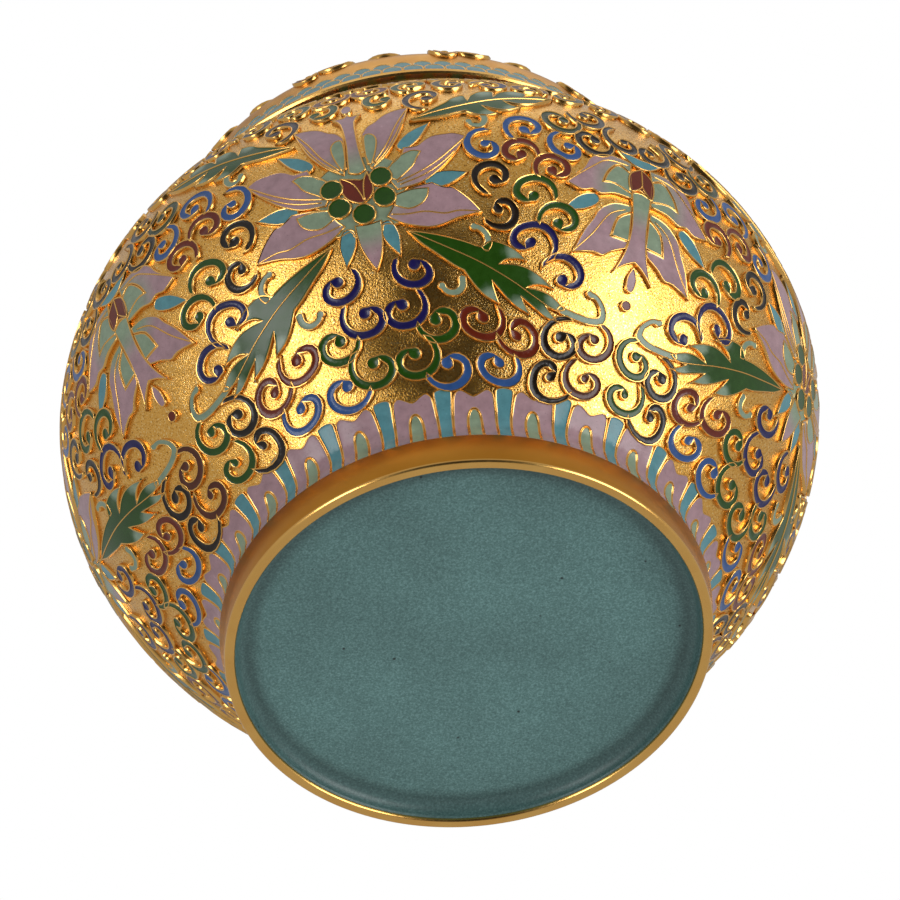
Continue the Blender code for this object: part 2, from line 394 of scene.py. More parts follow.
def rounded(points, steps=3):
    """Return a closed outline through the points; a point with a third value is a corner."""
    count = len(points)
    outline = []
    for index in range(count):
        before, start, end, after = (points[(index + shift) % count] for shift in (-1, 0, 1, 2))
        if len(start) > 2:
            before = start
        if len(end) > 2:
            after = end
        outline += span(before[:2], start[:2], end[:2], after[:2], steps)
    return outline


def disc(centre, radius, stretch=1.0, steps=12):
    """Return a round or oval outline."""
    return [(centre[0] + radius * math.cos(2 * math.pi * step / steps),
             centre[1] + radius * stretch * math.sin(2 * math.pi * step / steps))
            for step in range(steps)]


def band(path, width, knob=0.0):
    """Return the outline of a band along a path, with a pointed tail and a round knob.

    width is a function of the share of the path, from 0 at the tail to 1 at the knob.
    """
    last = len(path) - 1
    left, right = [], []
    for index in range(1, last + 1):
        before, after = path[index - 1], path[min(index + 1, last)]
        run, rise = after[0] - before[0], after[1] - before[1]
        reach = math.hypot(run, rise)
        half = width(index / last)
        x, y = path[index]
        left.append((x - half * rise / reach, y + half * run / reach))
        right.append((x + half * rise / reach, y - half * run / reach))
    head = []
    if knob:
        x, y = path[-1]
        before = path[-2]
        heading = math.atan2(y - before[1], x - before[0])
        opening = math.pi - math.asin(min(width(1.0) / knob, KNOB_OPENING))
        for step in range(KNOB_STEPS + 1):
            turn = heading - opening + 2 * opening * step / KNOB_STEPS
            head.append((x + knob * math.cos(turn), y + knob * math.sin(turn)))
        left, right = ([point for point in side if math.dist(point, (x, y)) > KNOB_ROOM * knob]
                       for side in (left, right))
    return [path[0]] + right + head + list(reversed(left))


def spiral(centre, start, sweep, radii, steps):
    """Return a path that turns round a centre, from a tail through a loop in to a knob."""
    first, middle, last = radii
    path = []
    for step in range(steps + 1):
        t = step / steps
        radius = (first + (middle - first) * ease(t, *SPIRAL_LOOP)
                  + (last - middle) * ease(t, *SPIRAL_END))
        turn = math.radians(start + sweep * t)
        path.append((centre[0] + radius * math.cos(turn), centre[1] + radius * math.sin(turn)))
    return path


def sepal(base, tip, width):
    """Return a small pointed leaf from a base to a tip."""
    run, rise = tip[0] - base[0], tip[1] - base[1]
    reach = math.hypot(run, rise)
    along, across = (run / reach, rise / reach), (-rise / reach, run / reach)
    points = []
    for share, half in ((0.0, -0.35), (0.45, -0.5), (1.0, 0.0), (0.45, 0.5), (0.0, 0.35)):
        point = [b + share * reach * a + half * width * c
                 for b, a, c in zip(base, along, across)]
        points.append((*point, 1) if share == 1.0 else tuple(point))
    return rounded(points, 3)


# Cells of enamel between gilt wires, drawn in a flat mesh

def area(outline):
    """Return the signed area of an outline."""
    return 0.5 * sum(a[0] * b[1] - b[0] * a[1]
                     for a, b in zip(outline, outline[1:] + outline[:1]))


def cut_grid(mesh, face, step):
    """Cut a face along a square grid, so that it can follow a curved ground."""
    faces = [face]
    for axis in (0, 1):
        values = [vert.co[axis] for part in faces for vert in part.verts]
        line = math.ceil(min(values) / step) * step
        while line < max(values):
            point, normal = Vector(), Vector()
            point[axis], normal[axis] = line, 1.0
            edges = {edge for part in faces for edge in part.edges}
            verts = {vert for part in faces for vert in part.verts}
            cut = bmesh.ops.bisect_plane(
                mesh, geom=faces + list(edges) + list(verts), dist=0.001,
                plane_co=point, plane_no=normal)
            faces = [item for item in cut["geom"] if isinstance(item, bmesh.types.BMFace)]
            line += step
    return faces


def inset(mesh, face, thickness, depth):
    """Inset a face, and hold back the points that a sharp corner would throw too far."""
    before = [vert.co.copy() for vert in face.verts]
    rim = bmesh.ops.inset_individual(mesh, faces=[face], thickness=thickness, depth=depth,
                                     use_even_offset=True)["faces"]
    limit = INSET_LIMIT * thickness
    for vert, old in zip(face.verts, before):
        step = (vert.co - old).to_2d()
        if step.length > limit:
            step *= limit / step.length
        vert.co = (old.x + step.x, old.y + step.y, old.z + depth)
    return rim


def raise_block(mesh, outline, low, high):
    """Add a closed block over an outline, and return its floor and its top."""
    if area(outline) < 0:
        outline = list(reversed(outline))
    floor = mesh.faces.new([mesh.verts.new((x, y, low)) for x, y in outline])
    floor.normal_update()
    raised = bmesh.ops.extrude_face_region(mesh, geom=[floor])
    top = next(item for item in raised["geom"] if isinstance(item, bmesh.types.BMFace))
    bmesh.ops.translate(mesh, verts=top.verts, vec=(0.0, 0.0, high - low))
    floor.normal_flip()
    top.normal_update()
    return floor, top


def add_cell(mesh, outline, paint, level=0.0, lip=None, grid=ENAMEL_GRID):
    """Add one closed cell: a gilt wall with a rounded wire on top, and enamel inside it.

    paint is a colour, or a function of x and y that gives one.
    """
    size = sizes()
    wire, ridge, dip = (value / MM for value in (size.wire_width, size.wire_ridge,
                                                 size.enamel_dip))
    lip = size.meniscus / MM if lip is None else lip
    layer = mesh.verts.layers.float_color["enamel"]
    first = len(mesh.verts)
    floor, top = raise_block(mesh, outline, -size.cell_root / MM, size.cell_height / MM + level)
    inset(mesh, top, wire / 2, ridge)
    inset(mesh, top, wire / 2, -ridge - dip / 2)
    top.material_index = 1
    if lip:
        for face in inset(mesh, top, lip, -dip / 2):
            face.material_index = 1
    faces = cut_grid(mesh, top, grid) if grid else [top]
    bmesh.ops.triangulate(mesh, faces=faces + [floor])
    mesh.verts.ensure_lookup_table()
    for vert in mesh.verts[first:]:
        value = paint(vert.co.x, vert.co.y) if callable(paint) else paint
        vert[layer] = (*value, 1.0)


def add_wire(mesh, path, level=0.0, width=0.34):
    """Add a gilt wire that stands on the enamel along a path."""
    size = sizes()
    top_height = size.cell_height / MM + level
    floor, top = raise_block(mesh, band(path, lambda share: width / 2),
                             top_height - WIRE_HEIGHT, top_height)
    inset(mesh, top, width * 0.35, size.wire_ridge / MM)
    bmesh.ops.triangulate(mesh, faces=[top, floor])


def mesh_data(mesh, name):
    """Return a named mesh with what was drawn in a bmesh, which is freed."""
    data = bpy.data.meshes.new(name)
    mesh.to_mesh(data)
    mesh.free()
    return data


def drawing(draw, *values):
    """Return a flat mesh that a function draws its cells in."""
    mesh = bmesh.new()
    mesh.verts.layers.float_color.new("enamel")
    draw(mesh, *values)
    return mesh_data(mesh, "flat_drawing")


def lay(mesh, flat, place, mirrored=False):
    """Add a flat drawing to a mesh, wrapped on its ground by a placing function."""
    verts, faces = len(mesh.verts), len(mesh.faces)
    mesh.from_mesh(flat)
    mesh.verts.ensure_lookup_table()
    mesh.faces.ensure_lookup_table()
    for vert in mesh.verts[verts:]:
        x, y, lift = vert.co
        vert.co = place(x, y, lift)
    if mirrored:
        bmesh.ops.reverse_faces(mesh, faces=mesh.faces[faces:])


def smooth_edges(data, angle):
    """Shade a mesh smooth, with edges over an angle in degrees kept sharp."""
    data.shade_smooth()
    data.set_sharp_from_angle(angle=math.radians(angle))


def piece_from(mesh, name, materials, angle=75.0):
    """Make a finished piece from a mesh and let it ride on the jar."""
    data = mesh_data(mesh, name)
    for material in materials:
        data.materials.append(material)
    smooth_edges(data, angle)
    piece = bpy.data.objects.new(name, data)
    bpy.context.scene.collection.objects.link(piece)
    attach(piece, "root")
    return piece


def ornament(name, drawings):
    """Make a piece from flat drawings and the places that they are laid at."""
    mesh = bmesh.new()
    mesh.verts.layers.float_color.new("enamel")
    for flat, places in drawings:
        for place, mirrored in places:
            lay(mesh, flat, place, mirrored)
        bpy.data.meshes.remove(flat)
    return piece_from(mesh, name, [gilt_wire(), fired_enamel()])


def turned(name, profile, materials, bands, angle=40.0):
    """Make a closed shell from a section in millimetres, spun about Z.

    The section runs up the inside and down the outside. bands is a function that gives the
    number of a face's material by the radius and the height of its middle.
    """
    mesh = bmesh.new()
    verts = [mesh.verts.new((radius * MM, 0.0, height * MM)) for radius, height in profile]
    edges = [mesh.edges.new(pair) for pair in zip(verts, verts[1:])]
    bmesh.ops.spin(mesh, geom=verts + edges, cent=(0, 0, 0), axis=(0, 0, 1),
                   angle=2 * math.pi, steps=TURN_STEPS, use_merge=True)
    bmesh.ops.remove_doubles(mesh, verts=mesh.verts, dist=0.000002)
    bmesh.ops.recalc_face_normals(mesh, faces=mesh.faces)
    for face in mesh.faces:
        centre = face.calc_center_median()
        place = (math.hypot(centre.x, centre.y) / MM, centre.z / MM)
        face.material_index = bands(*place)
    return piece_from(mesh, name, materials, angle)


# Materials

def node(tree, kind, settings=(), **links):
    """Add a node with its settings, and link its inputs or set their values."""
    item = tree.nodes.new(kind)
    for key, value in dict(settings).items():
        setattr(item, key, value)
    for key, value in links.items():
        socket = item.inputs[int(key[1:]) if key[0] == "i" and key[1:].isdigit()
                             else key.replace("_", " ")]
        if isinstance(value, bpy.types.NodeSocket):
            tree.links.new(value, socket)
        else:
            socket.default_value = value
    return item


def material_of(name, build, *values):
    """Return the material of a name; the first time, a function builds its tree."""
    if name not in bpy.data.materials:
        finish = bpy.data.materials.new(name)
        finish.use_nodes = True
        tree = finish.node_tree
        tree.nodes.clear()
        shader = build(tree, *values)
        output = tree.nodes.new("ShaderNodeOutputMaterial")
        tree.links.new(shader.outputs[0], output.inputs["Surface"])
    return bpy.data.materials[name]


def own_place(tree):
    """Return the place on a piece in its own coordinates."""
    return tree.nodes.new("ShaderNodeTexCoord").outputs["Object"]


def noise(tree, place, spacing, detail=3.0, **links):
    """Return a noise whose grains are so many millimetres apart."""
    return node(tree, "ShaderNodeTexNoise", Vector=place, Scale=1.0 / (spacing * MM),
                Detail=detail, **links).outputs["Fac"]


def remap(tree, value, given, wanted, **settings):
    """Return a value moved from a given range to a wanted one."""
    return node(tree, "ShaderNodeMapRange", settings, Value=value, From_Min=given[0],
                From_Max=given[1], To_Min=wanted[0], To_Max=wanted[1]).outputs[0]


def pits(tree, place, spacing, edge, darkest):
    """Return the shade of small pits that are so many millimetres apart."""
    cells = node(tree, "ShaderNodeTexVoronoi", Vector=place, Scale=1.0 / (spacing * MM))
    return remap(tree, cells.outputs["Distance"], edge, (darkest, 1.0))


def times(tree, first, second):
    """Return the product of two values."""
    return node(tree, "ShaderNodeMath", {"operation": 'MULTIPLY'}, i0=first,
                i1=second).outputs[0]


def shaded(tree, tone, shade):
    """Return a colour times a value."""
    return node(tree, "ShaderNodeVectorMath", {"operation": 'SCALE'}, i0=tone,
                Scale=shade).outputs[0]


def ramp(tree, value, stops):
    """Return a colour that runs through stops, given as positions and colours."""
    item = node(tree, "ShaderNodeValToRGB", Fac=value)
    elements = item.color_ramp.elements
    for index in (0, -1):
        elements[index].position, elements[index].color = stops[index][0], (*stops[index][1], 1.0)
    for position, tone in stops[1:-1]:
        elements.new(position).color = (*tone, 1.0)
    return item.outputs["Color"]


def coat(tree, tone, roughness, height, strength, depth, **links):
    """Return a shader with a colour, a gloss and fine unevenness of a depth in millimetres."""
    bump = node(tree, "ShaderNodeBump", Strength=strength, Distance=depth * MM, Height=height)
    return node(tree, "ShaderNodeBsdfPrincipled", Base_Color=tone, Roughness=roughness,
                Normal=bump.outputs[0], **links)


def gilding(tree, dull, bright, spacings, roughness, depth):
    """Draw gilding whose colour drifts between two tones, with fine unevenness.

    spacings are those of the drift and of the fine grain, in millimetres.
    """
    place = own_place(tree)
    cloud, fine = (noise(tree, place, spacing) for spacing in spacings)
    base = node(tree, "ShaderNodeMix", {"data_type": 'RGBA'}, i0=cloud, i6=(*dull, 1.0),
                i7=(*bright, 1.0))
    return coat(tree, base.outputs[2], remap(tree, fine, (0.0, 1.0), roughness), fine, 0.2,
                depth, Metallic=1.0)


def gilt_wire():
    """Fire gilding, polished: a warm yellow metal with soft, slightly uneven gloss."""
    return material_of("Polished fire gilding", gilding, linear("#DDA252"), gilt().wire,
                       (9.0, 0.6), (0.14, 0.28), 0.03)


def gilt_foot():
    """Fire gilding on the foot, worn by handling: smooth and more orange than the rest."""
    return material_of("Worn fire gilding", gilding, linear("#B47420"), linear("#D49438"),
                       (16.0, 1.2), (0.27, 0.36), 0.03)


def gilt_satin():
    """Fire gilding left satin on the lid: smooth orange gold with faint clouds."""
    return material_of("Satin fire gilding", gilding, linear("#B87A34"), gilt().ground,
                       (6.0, 0.7), (0.26, 0.40), 0.10)


def punched_gilding(tree):
    """Draw fire gilding over a finely punched ground: a mirror with painted grains, bright ones as
    painted glints and brown ones as painted shade in the punch pits.
    """
    place = own_place(tree)
    grain = noise(tree, place, sizes().punch_spacing / MM * 1.3, Roughness=0.6)
    # Painted shade in the punch pits and painted glints on the grains, laid into the gilding's
    # colour
    tone = ramp(tree, grain, ((0.33, gilt().pit_shade), (0.43, gilt().ground),
                              (0.57, gilt().ground), (0.68, gilt().painted_glint)))
    uneven = remap(tree, noise(tree, place, 11.0, 4.0), (0.35, 0.65), (0.30, 0.95))
    return coat(tree, tone, remap(tree, grain, (0.0, 1.0), (0.28, 0.16)), grain, uneven, 0.16,
                Metallic=1.0)


def glass_enamel(tree):
    """Draw glass enamel, ground flush and polished: glossy, with fine pits and clouding."""
    place = own_place(tree)
    paint = node(tree, "ShaderNodeAttribute",
                 {"attribute_type": 'GEOMETRY', "attribute_name": "enamel"})
    cloud = noise(tree, place, 2.2, 4.0, Roughness=0.6)
    pit = pits(tree, place, 0.9, (0.05, 0.13), 0.55)
    shade = times(tree, remap(tree, cloud, (0.25, 0.75), (0.82, 1.16)), pit)
    return coat(tree, shaded(tree, paint.outputs["Color"], shade),
                remap(tree, cloud, (0.0, 1.0), (0.14, 0.34)), pit, 0.25, 0.05, IOR=1.40)


def sifted_enamel(tree):
    """Draw enamel that was sifted on and fired: teal with fine pale and dark grains."""
    place = own_place(tree)
    speck = noise(tree, place, 0.5, Roughness=0.8)
    teal = tuple(enamel().teal)
    tone = ramp(tree, speck, ((0.28, blend(teal, (0.0, 0.01, 0.015), 0.45)), (0.50, teal),
                              (0.80, enamel().teal_light)))
    flat = node(tree, "ShaderNodeVectorMath", {"operation": 'MULTIPLY'}, i0=place,
                i1=(1.0, 1.0, 0.0))
    reach = node(tree, "ShaderNodeVectorMath", {"operation": 'LENGTH'}, i0=flat.outputs[0])
    # Painted shadow of the foot ring, partly enamel lying thicker in the fillet: the enamel darkens
    # towards the foot ring and stays dark beyond it
    rim = remap(tree, reach.outputs["Value"],
                [(FOOT_INNER_RADIUS - inward) * MM for inward in BASE_SHADE], (1.0, 0.55),
                interpolation_type='SMOOTHSTEP')
    cloudy = remap(tree, noise(tree, place, 22.0, 4.0), (0.3, 0.7), (0.86, 1.12))
    shade = times(tree, cloudy, pits(tree, place, 7.0, (0.03, 0.06), 0.12))
    return coat(tree, shaded(tree, tone, times(tree, shade, rim)), 0.42, speck, 0.2, 0.1,
                IOR=1.5)


def gilt_ground():
    """Fire gilding over a finely punched ground: a soft mirror with painted grains, bright ones as
    painted glints and brown ones as painted shade in the punch pits.
    """
    return material_of("Punched fire gilding", punched_gilding)


def fired_enamel():
    """Fired glass enamel, ground flush and polished: glossy, with fine pits and clouding."""
    return material_of("Fired glass enamel", glass_enamel)


def counter_enamel():
    """Counter enamel, sifted and fired unpolished: teal with fine pale and dark grains."""
    return material_of("Sifted counter enamel", sifted_enamel)


def studio_board(tree):
    """Draw a pale matt board that is clear from below."""
    board = node(tree, "ShaderNodeBsdfPrincipled", Roughness=0.8,
                 Base_Color=(*linear("#F4F2EE"), 1.0))
    clear = tree.nodes.new("ShaderNodeBsdfTransparent")
    facing = tree.nodes.new("ShaderNodeNewGeometry").outputs["Backfacing"]
    return node(tree, "ShaderNodeMixShader", i0=facing, i1=board.outputs[0],
                i2=clear.outputs[0])


# Ornament of the jar, drawn flat beside a blossom's axis

def petal_paint(heart, reach, full):
    """Return a colouring that turns from green near the heart to pink at the tip."""
    green, pink = tint("light_green"), tint("pink")

    def paint(x, y):
        return blend(green, pink, ease(math.hypot(x - heart[0], y - heart[1]), reach, full))

    return paint


def draw_front_middle(mesh):
    """Draw the bud, the beads round it, the stamen and the lowest petal."""
    bud = rounded([(-3.9, 3.4, 1), (-0.6, 2.2), (0.8, 1.9), (1.9, 3.8, 1), (2.8, 0.4),
                   (2.4, -2.4), (0.0, -4.3), (-3.0, -2.6), (-4.2, 0.5)])
    add_cell(mesh, bud, tint("red"), level=0.1)
    for path in (((-3.9, 3.4), (-1.2, 0.8), (0.4, -3.6)), ((1.9, 3.8), (0.8, 0.8), (0.4, -3.6))):
        add_wire(mesh, spline(path, 4), level=0.1)
    half = [(1.6, 8.2), (5.6, 7.0), (8.6, 4.6), (8.2, 1.2), (11.6, -0.6), (8.6, -3.4),
            (8.4, -7.0), (6.6, -10.6), (3.6, -10.2), (2.6, -12.0)]
    calyx = half + [(-x, y) for x, y in reversed(half)]
    add_cell(mesh, rounded(calyx), tint("light_green"), level=-0.22, lip=0.15)
    for centre in ((-5.9, 1.0), (-4.9, -4.1), (-0.1, -6.9), (4.7, -3.7), (4.6, 1.5)):
        add_cell(mesh, disc(centre, 2.55), tint("dark_green"), level=0.25)
    lowest = rounded([(-2.6, -9.0, 1), (-2.2, -14.0), (-0.9, -18.0), (0.3, -20.4, 1),
                      (1.8, -17.5), (2.8, -13.5), (3.2, -9.0, 1), (0.3, -9.4)])
    add_cell(mesh, lowest, petal_paint((0.0, -8.0), 3.0, 9.0))
    stamen = rounded([(-2.0, 4.2, 1), (-1.8, 9.0), (-1.7, 13.0), (-2.4, 20.0), (-4.2, 23.0, 1),
                      (-1.6, 22.6), (-0.8, 24.0), (0.0, 22.6), (2.2, 23.0, 1), (0.8, 20.0),
                      (0.9, 13.0), (1.2, 9.0), (1.8, 4.2, 1), (0.0, 3.4)])
    add_cell(mesh, stamen, petal_paint((0.0, 2.0), 2.0, 12.0), level=0.05, lip=0.18)
    add_cell(mesh, disc((-0.9, 26.4), 1.3, 1.7), tint("pink"))


def draw_front_side(mesh):
    """Draw the petals, hearts and sepals on the right half of a front blossom."""
    petals = (
        ([(12.4, 22.4, 1), (11.6, 18.4), (10.1, 13.4), (8.2, 9.7), (6.0, 6.7), (2.9, 4.0, 1),
          (2.1, 8.0), (1.8, 12.0), (1.9, 15.0, 1), (3.2, 17.2), (4.8, 18.3), (7.0, 20.6),
          (9.6, 21.9)],
         (((12.2, 21.9), (9.4, 16.0), (7.0, 10.5), (3.6, 5.6)),
          ((11.3, 18.4), (9.2, 13.0), (6.6, 8.4), (3.8, 5.2)))),
        ([(24.0, 10.9, 1), (21.6, 6.9), (19.2, 3.8), (16.7, 1.2), (12.7, -1.5), (7.6, -2.5, 1),
          (6.2, 0.4), (6.0, 3.4, 1), (9.2, 6.2), (10.2, 8.6, 1), (13.0, 8.7), (14.8, 10.2),
          (16.6, 11.3), (19.0, 11.7), (21.4, 11.9)],
         (((23.6, 10.6), (19.2, 6.0), (15.2, 2.8), (11.5, 0.8), (7.8, -0.6)),
          ((21.2, 6.8), (17.6, 3.2), (13.4, 0.4), (8.4, -1.3)))),
        ([(24.4, -9.3, 1), (19.0, -10.7), (15.8, -12.0), (12.4, -12.4), (7.8, -11.0),
          (4.4, -8.6, 1), (6.2, -6.0), (6.8, -3.6, 1), (11.2, -2.3), (15.0, -1.6, 1),
          (17.2, -2.9), (19.2, -3.2), (21.4, -5.2), (22.9, -7.0)],
         (((24.0, -9.2), (19.6, -8.9), (16.5, -9.4), (12.5, -8.6), (8.6, -8.7), (5.4, -8.2)),)),
    )
    for outline, dividers in petals:
        add_cell(mesh, rounded(outline), petal_paint((0.0, 0.0), 5.0, 13.0))
        for divider in dividers:
            add_wire(mesh, spline(divider, 5))
    hearts = (
        [(2.2, 5.6, 1), (2.0, 10.0), (2.3, 14.2), (4.0, 14.4), (5.0, 12.4), (4.4, 8.6),
         (3.2, 5.2, 1)],
        [(6.2, 3.0, 1), (8.2, 5.7), (11.6, 7.5), (13.9, 7.0, 1), (12.8, 5.2), (11.6, 3.0),
         (8.0, -0.2, 1), (6.5, 0.8)],
        [(6.9, -3.7, 1), (10.6, -2.8), (14.2, -2.9, 1), (13.6, -5.0), (12.0, -6.8),
         (9.2, -7.6), (6.4, -6.3, 1)],
    )
    for outline in hearts:
        add_cell(mesh, rounded(outline), tint("light_green"), level=0.05)
    for base, tip, width in (((9.6, 8.8), (16.8, 16.2), 3.3), ((14.0, -1.6), (23.2, 0.9), 3.8),
                             ((3.9, -9.8), (5.8, -18.2), 3.5)):
        add_cell(mesh, sepal(base, tip, width), tint("turquoise"), level=-0.2)


def draw_side_middle(mesh):
    """Draw the bud, the collar, the trumpet and the drop of a side blossom."""
    bud = rounded([(0.0, 7.9, 1), (-2.7, 5.5), (-3.2, 2.5), (-2.4, 0.2), (-0.2, 1.2),
                   (2.4, -0.4), (3.2, 2.5), (2.6, 5.8)])
    add_cell(mesh, bud, tint("red"), level=0.1)
    for path in (((0.1, 7.7), (0.2, 5.0), (0.2, 2.5)), ((0.2, 2.5), (-1.0, 1.2), (-2.2, 0.4)),
                 ((0.2, 2.5), (1.3, 1.0), (2.4, -0.2))):
        add_wire(mesh, spline(path, 4), level=0.1)
    trumpet = rounded([(-2.4, 0.0, 1), (-2.0, -5.0), (-1.9, -10.0), (-2.7, -15.5),
                       (-4.7, -21.2, 1), (-2.4, -18.8), (0.0, -17.2, 1), (2.4, -18.8),
                       (4.7, -21.2, 1), (2.7, -15.5), (1.9, -10.0), (2.0, -5.0), (2.4, 0.0, 1),
                       (0.0, 0.7)])
    add_cell(mesh, trumpet, petal_paint((0.0, 0.0), 3.0, 11.0), level=0.05, lip=0.18)
    drop = rounded([(0.0, -18.0, 1), (1.2, -21.0), (0.8, -24.0), (-0.8, -24.0), (-1.2, -21.0)])
    add_cell(mesh, drop, tint("pink"), lip=0.18)
    add_cell(mesh, disc((0.0, -27.3), 1.35, steps=10), tint("red"), lip=0.2, grid=None)
    collar = rounded([(-5.8, 11.9, 1), (-2.9, 9.0), (0.0, 8.1), (2.9, 9.0), (5.8, 11.9, 1),
                      (2.9, 11.6), (0.0, 11.3), (-2.9, 11.6)])
    add_cell(mesh, collar, tint("turquoise"), lip=0.15)


def draw_side_half(mesh):
    """Draw the petals, hearts and sepal on the right half of a side blossom."""
    petals = (
        ([(2.2, 8.7, 1), (6.5, 9.1), (10.5, 7.8), (12.6, 5.6), (13.9, 2.6), (17.5, -2.3, 1),
          (13.9, -3.5), (11.6, -2.6), (9.5, -3.2), (6.5, -2.0), (2.3, -1.9, 1), (2.2, -0.6, 1),
          (6.5, 0.9), (9.2, 0.4, 1), (8.1, 3.6), (5.5, 6.7), (2.6, 5.2, 1)],
         ((2.9, 7.4), (8.0, 7.0), (11.5, 4.0), (17.5, -2.3))),
        ([(2.2, -3.7, 1), (6.4, -4.4), (9.6, -7.0), (10.8, -9.8), (12.6, -13.4), (14.4, -19.2, 1),
          (9.8, -18.0), (7.6, -18.2), (5.4, -16.4), (2.6, -14.8, 1), (2.1, -12.9, 1),
          (6.4, -12.9, 1), (5.3, -8.0), (2.2, -5.4, 1)],
         ((3.4, -5.2), (7.3, -7.8), (10.6, -13.8), (14.4, -19.2))),
    )
    for outline, divider in petals:
        add_cell(mesh, rounded(outline), petal_paint((0.0, 0.0), 6.0, 13.0))
        add_wire(mesh, spline(divider, 5))
    hearts = (
        [(2.5, 5.1, 1), (5.5, 6.6), (8.0, 3.5), (9.1, 0.4, 1), (6.5, 0.8), (2.1, -0.6, 1)],
        [(2.1, -5.4, 1), (5.2, -8.0), (6.3, -12.8, 1), (2.0, -12.8, 1)],
    )
    for outline in hearts:
        add_cell(mesh, rounded(outline), tint("light_green"), level=-0.03)
    add_cell(mesh, sepal((10.4, -4.3), (18.2, -9.8), 3.6), tint("turquoise"), level=-0.2)


def leaf_paint(lobes):
    """Return a colouring that turns from a leaf's dark green to mint on its lobes."""
    green, mint = tint("dark_green"), tint("mint")

    def paint(x, y):
        near = min(math.dist((x, y), lobe) for lobe in lobes)
        return blend(mint, green, ease(near, 0.9, 2.7))

    return paint


def draw_leaf(mesh, outline, spine, lobes, hooks):
    """Draw a dark green leaf with pale lobes, a gilt midrib and thin curled hooks."""
    for path in hooks:
        add_cell(mesh, band(spline(path, 4), lambda share: 0.95 - 0.2 * share, 0.95),
                 tint("mint"), level=-0.05, lip=0.12, grid=None)
    add_cell(mesh, rounded(outline), leaf_paint(lobes), grid=LEAF_GRID)
    add_wire(mesh, spline(spine, 6), level=0.02, width=0.3)


def draw_leaves(mesh):
    """Draw the lower and the upper leaf to the right of a front blossom."""
    draw_leaf(mesh, LOWER_LEAF, LOWER_SPINE,
              ((29.6, -18.4), (34.0, -23.6), (36.6, -28.0), (22.6, -28.2), (28.4, -30.0),
               (34.2, -31.2)), LOWER_HOOKS)
    draw_leaf(mesh, UPPER_LEAF, UPPER_SPINE,
              ((29.8, 18.6), (35.0, 21.6), (35.6, 31.0), (28.6, 29.0), (22.6, 26.0)),
              UPPER_HOOKS)


LOWER_LEAF = (
    (7.8, -12.4, 1), (12.5, -13.7), (16.4, -15.0), (19.7, -16.2), (22.4, -17.4, 1),
    (24.8, -16.0), (27.6, -16.5), (30.2, -18.0), (32.0, -20.0, 1), (29.8, -19.8),
    (27.6, -20.1), (26.0, -21.1, 1), (28.6, -20.9), (31.6, -21.4), (34.6, -23.2),
    (36.6, -25.4, 1), (34.4, -24.9), (32.4, -25.1), (30.8, -25.8, 1), (33.4, -25.9),
    (36.0, -26.9), (38.4, -29.2, 1), (36.8, -29.8), (34.2, -29.4, 1), (35.0, -30.6),
    (36.4, -32.2, 1), (33.6, -31.7), (31.4, -30.1), (29.2, -28.2, 1), (29.7, -30.0),
    (30.4, -31.8, 1), (27.6, -30.3), (25.4, -28.0), (23.6, -25.2, 1), (23.8, -27.4),
    (24.2, -30.0, 1), (21.4, -28.3), (19.4, -25.7), (18.0, -22.7, 1), (16.4, -21.7),
    (14.9, -20.4), (12.5, -18.1), (10.1, -15.7),
)
LOWER_SPINE = ((8.0, -12.6), (15.4, -17.2), (21.7, -20.8), (28.0, -24.8), (31.1, -27.0),
               (34.5, -29.1), (38.0, -30.5))
LOWER_HOOKS = (
    ((36.4, -29.2), (40.0, -30.0), (43.6, -30.2), (46.5, -29.3), (47.4, -27.1), (46.6, -25.0),
     (45.0, -24.5)),
    ((23.0, -18.2), (24.3, -16.4), (24.3, -14.5), (23.2, -13.1), (22.0, -12.7)),
    ((17.4, -23.4), (17.1, -25.8), (15.7, -27.2), (13.8, -27.0), (12.9, -25.7)),
)
UPPER_LEAF = (
    (12.2, 17.0, 1), (18.7, 17.6), (24.4, 19.6, 1), (26.4, 18.4), (28.8, 18.0),
    (31.6, 19.2, 1), (29.8, 20.2), (28.6, 21.8, 1), (31.2, 20.8), (34.0, 21.0), (36.8, 22.8, 1),
    (34.8, 23.4), (33.4, 24.8, 1), (36.2, 24.2), (39.4, 25.2), (42.0, 27.4), (44.4, 30.4, 1),
    (41.2, 30.8), (38.0, 29.2, 1), (38.0, 31.2), (35.0, 31.6), (32.2, 29.8), (31.0, 27.4, 1),
    (30.8, 30.0), (27.8, 29.4), (25.8, 27.0), (25.2, 24.8, 1), (24.4, 27.0), (21.8, 25.6),
    (20.0, 23.2), (16.4, 20.2),
)
UPPER_SPINE = ((12.6, 17.4), (22.4, 21.5), (32.4, 26.0), (43.2, 29.6))
UPPER_HOOKS = (
    ((28.0, 18.6), (28.4, 16.4), (27.4, 14.6), (25.6, 14.6), (24.9, 15.8)),
)

# Scrolls of one wedge: enamel, centre, start angle, sweep, radii at tail, middle and knob.
# The first group is placed from a front blossom's axis, the second from a side blossom's.
FRONT_SCROLLS = (
    ("navy", (7.9, -21.5), 128, 277, (4.4, 3.3, 1.8)),
    ("navy", (3.7, -29.8), 54, -297, (5.6, 3.3, 2.2)),
    ("dark_green", (10.9, -33.4), 169, 296, (4.7, 3.2, 1.9)),
    ("dark_green", (4.1, -40.4), 63, -308, (5.5, 3.6, 1.9)),
    ("blue", (11.0, -43.2), 183, 258, (5.2, 3.5, 1.9)),
    ("blue", (20.7, -43.0), 37, -307, (5.0, 3.4, 1.5)),
    ("red", (18.9, -33.4), 41, -328, (5.5, 3.3, 2.1)),
    ("red", (27.1, -36.2), 174, 336, (5.1, 3.3, 1.4)),
    ("black", (28.3, 0.0), 256, -309, (5.2, 2.9, 2.1)),
    ("black", (28.5, -8.8), 202, 275, (4.6, 2.9, 1.3)),
    ("plum", (15.9, 27.0), 278, -299, (5.8, 2.9, 1.9)),
    ("dark_green", (6.3, 28.4), 60, 255, (4.0, 2.8, 2.5)),
)
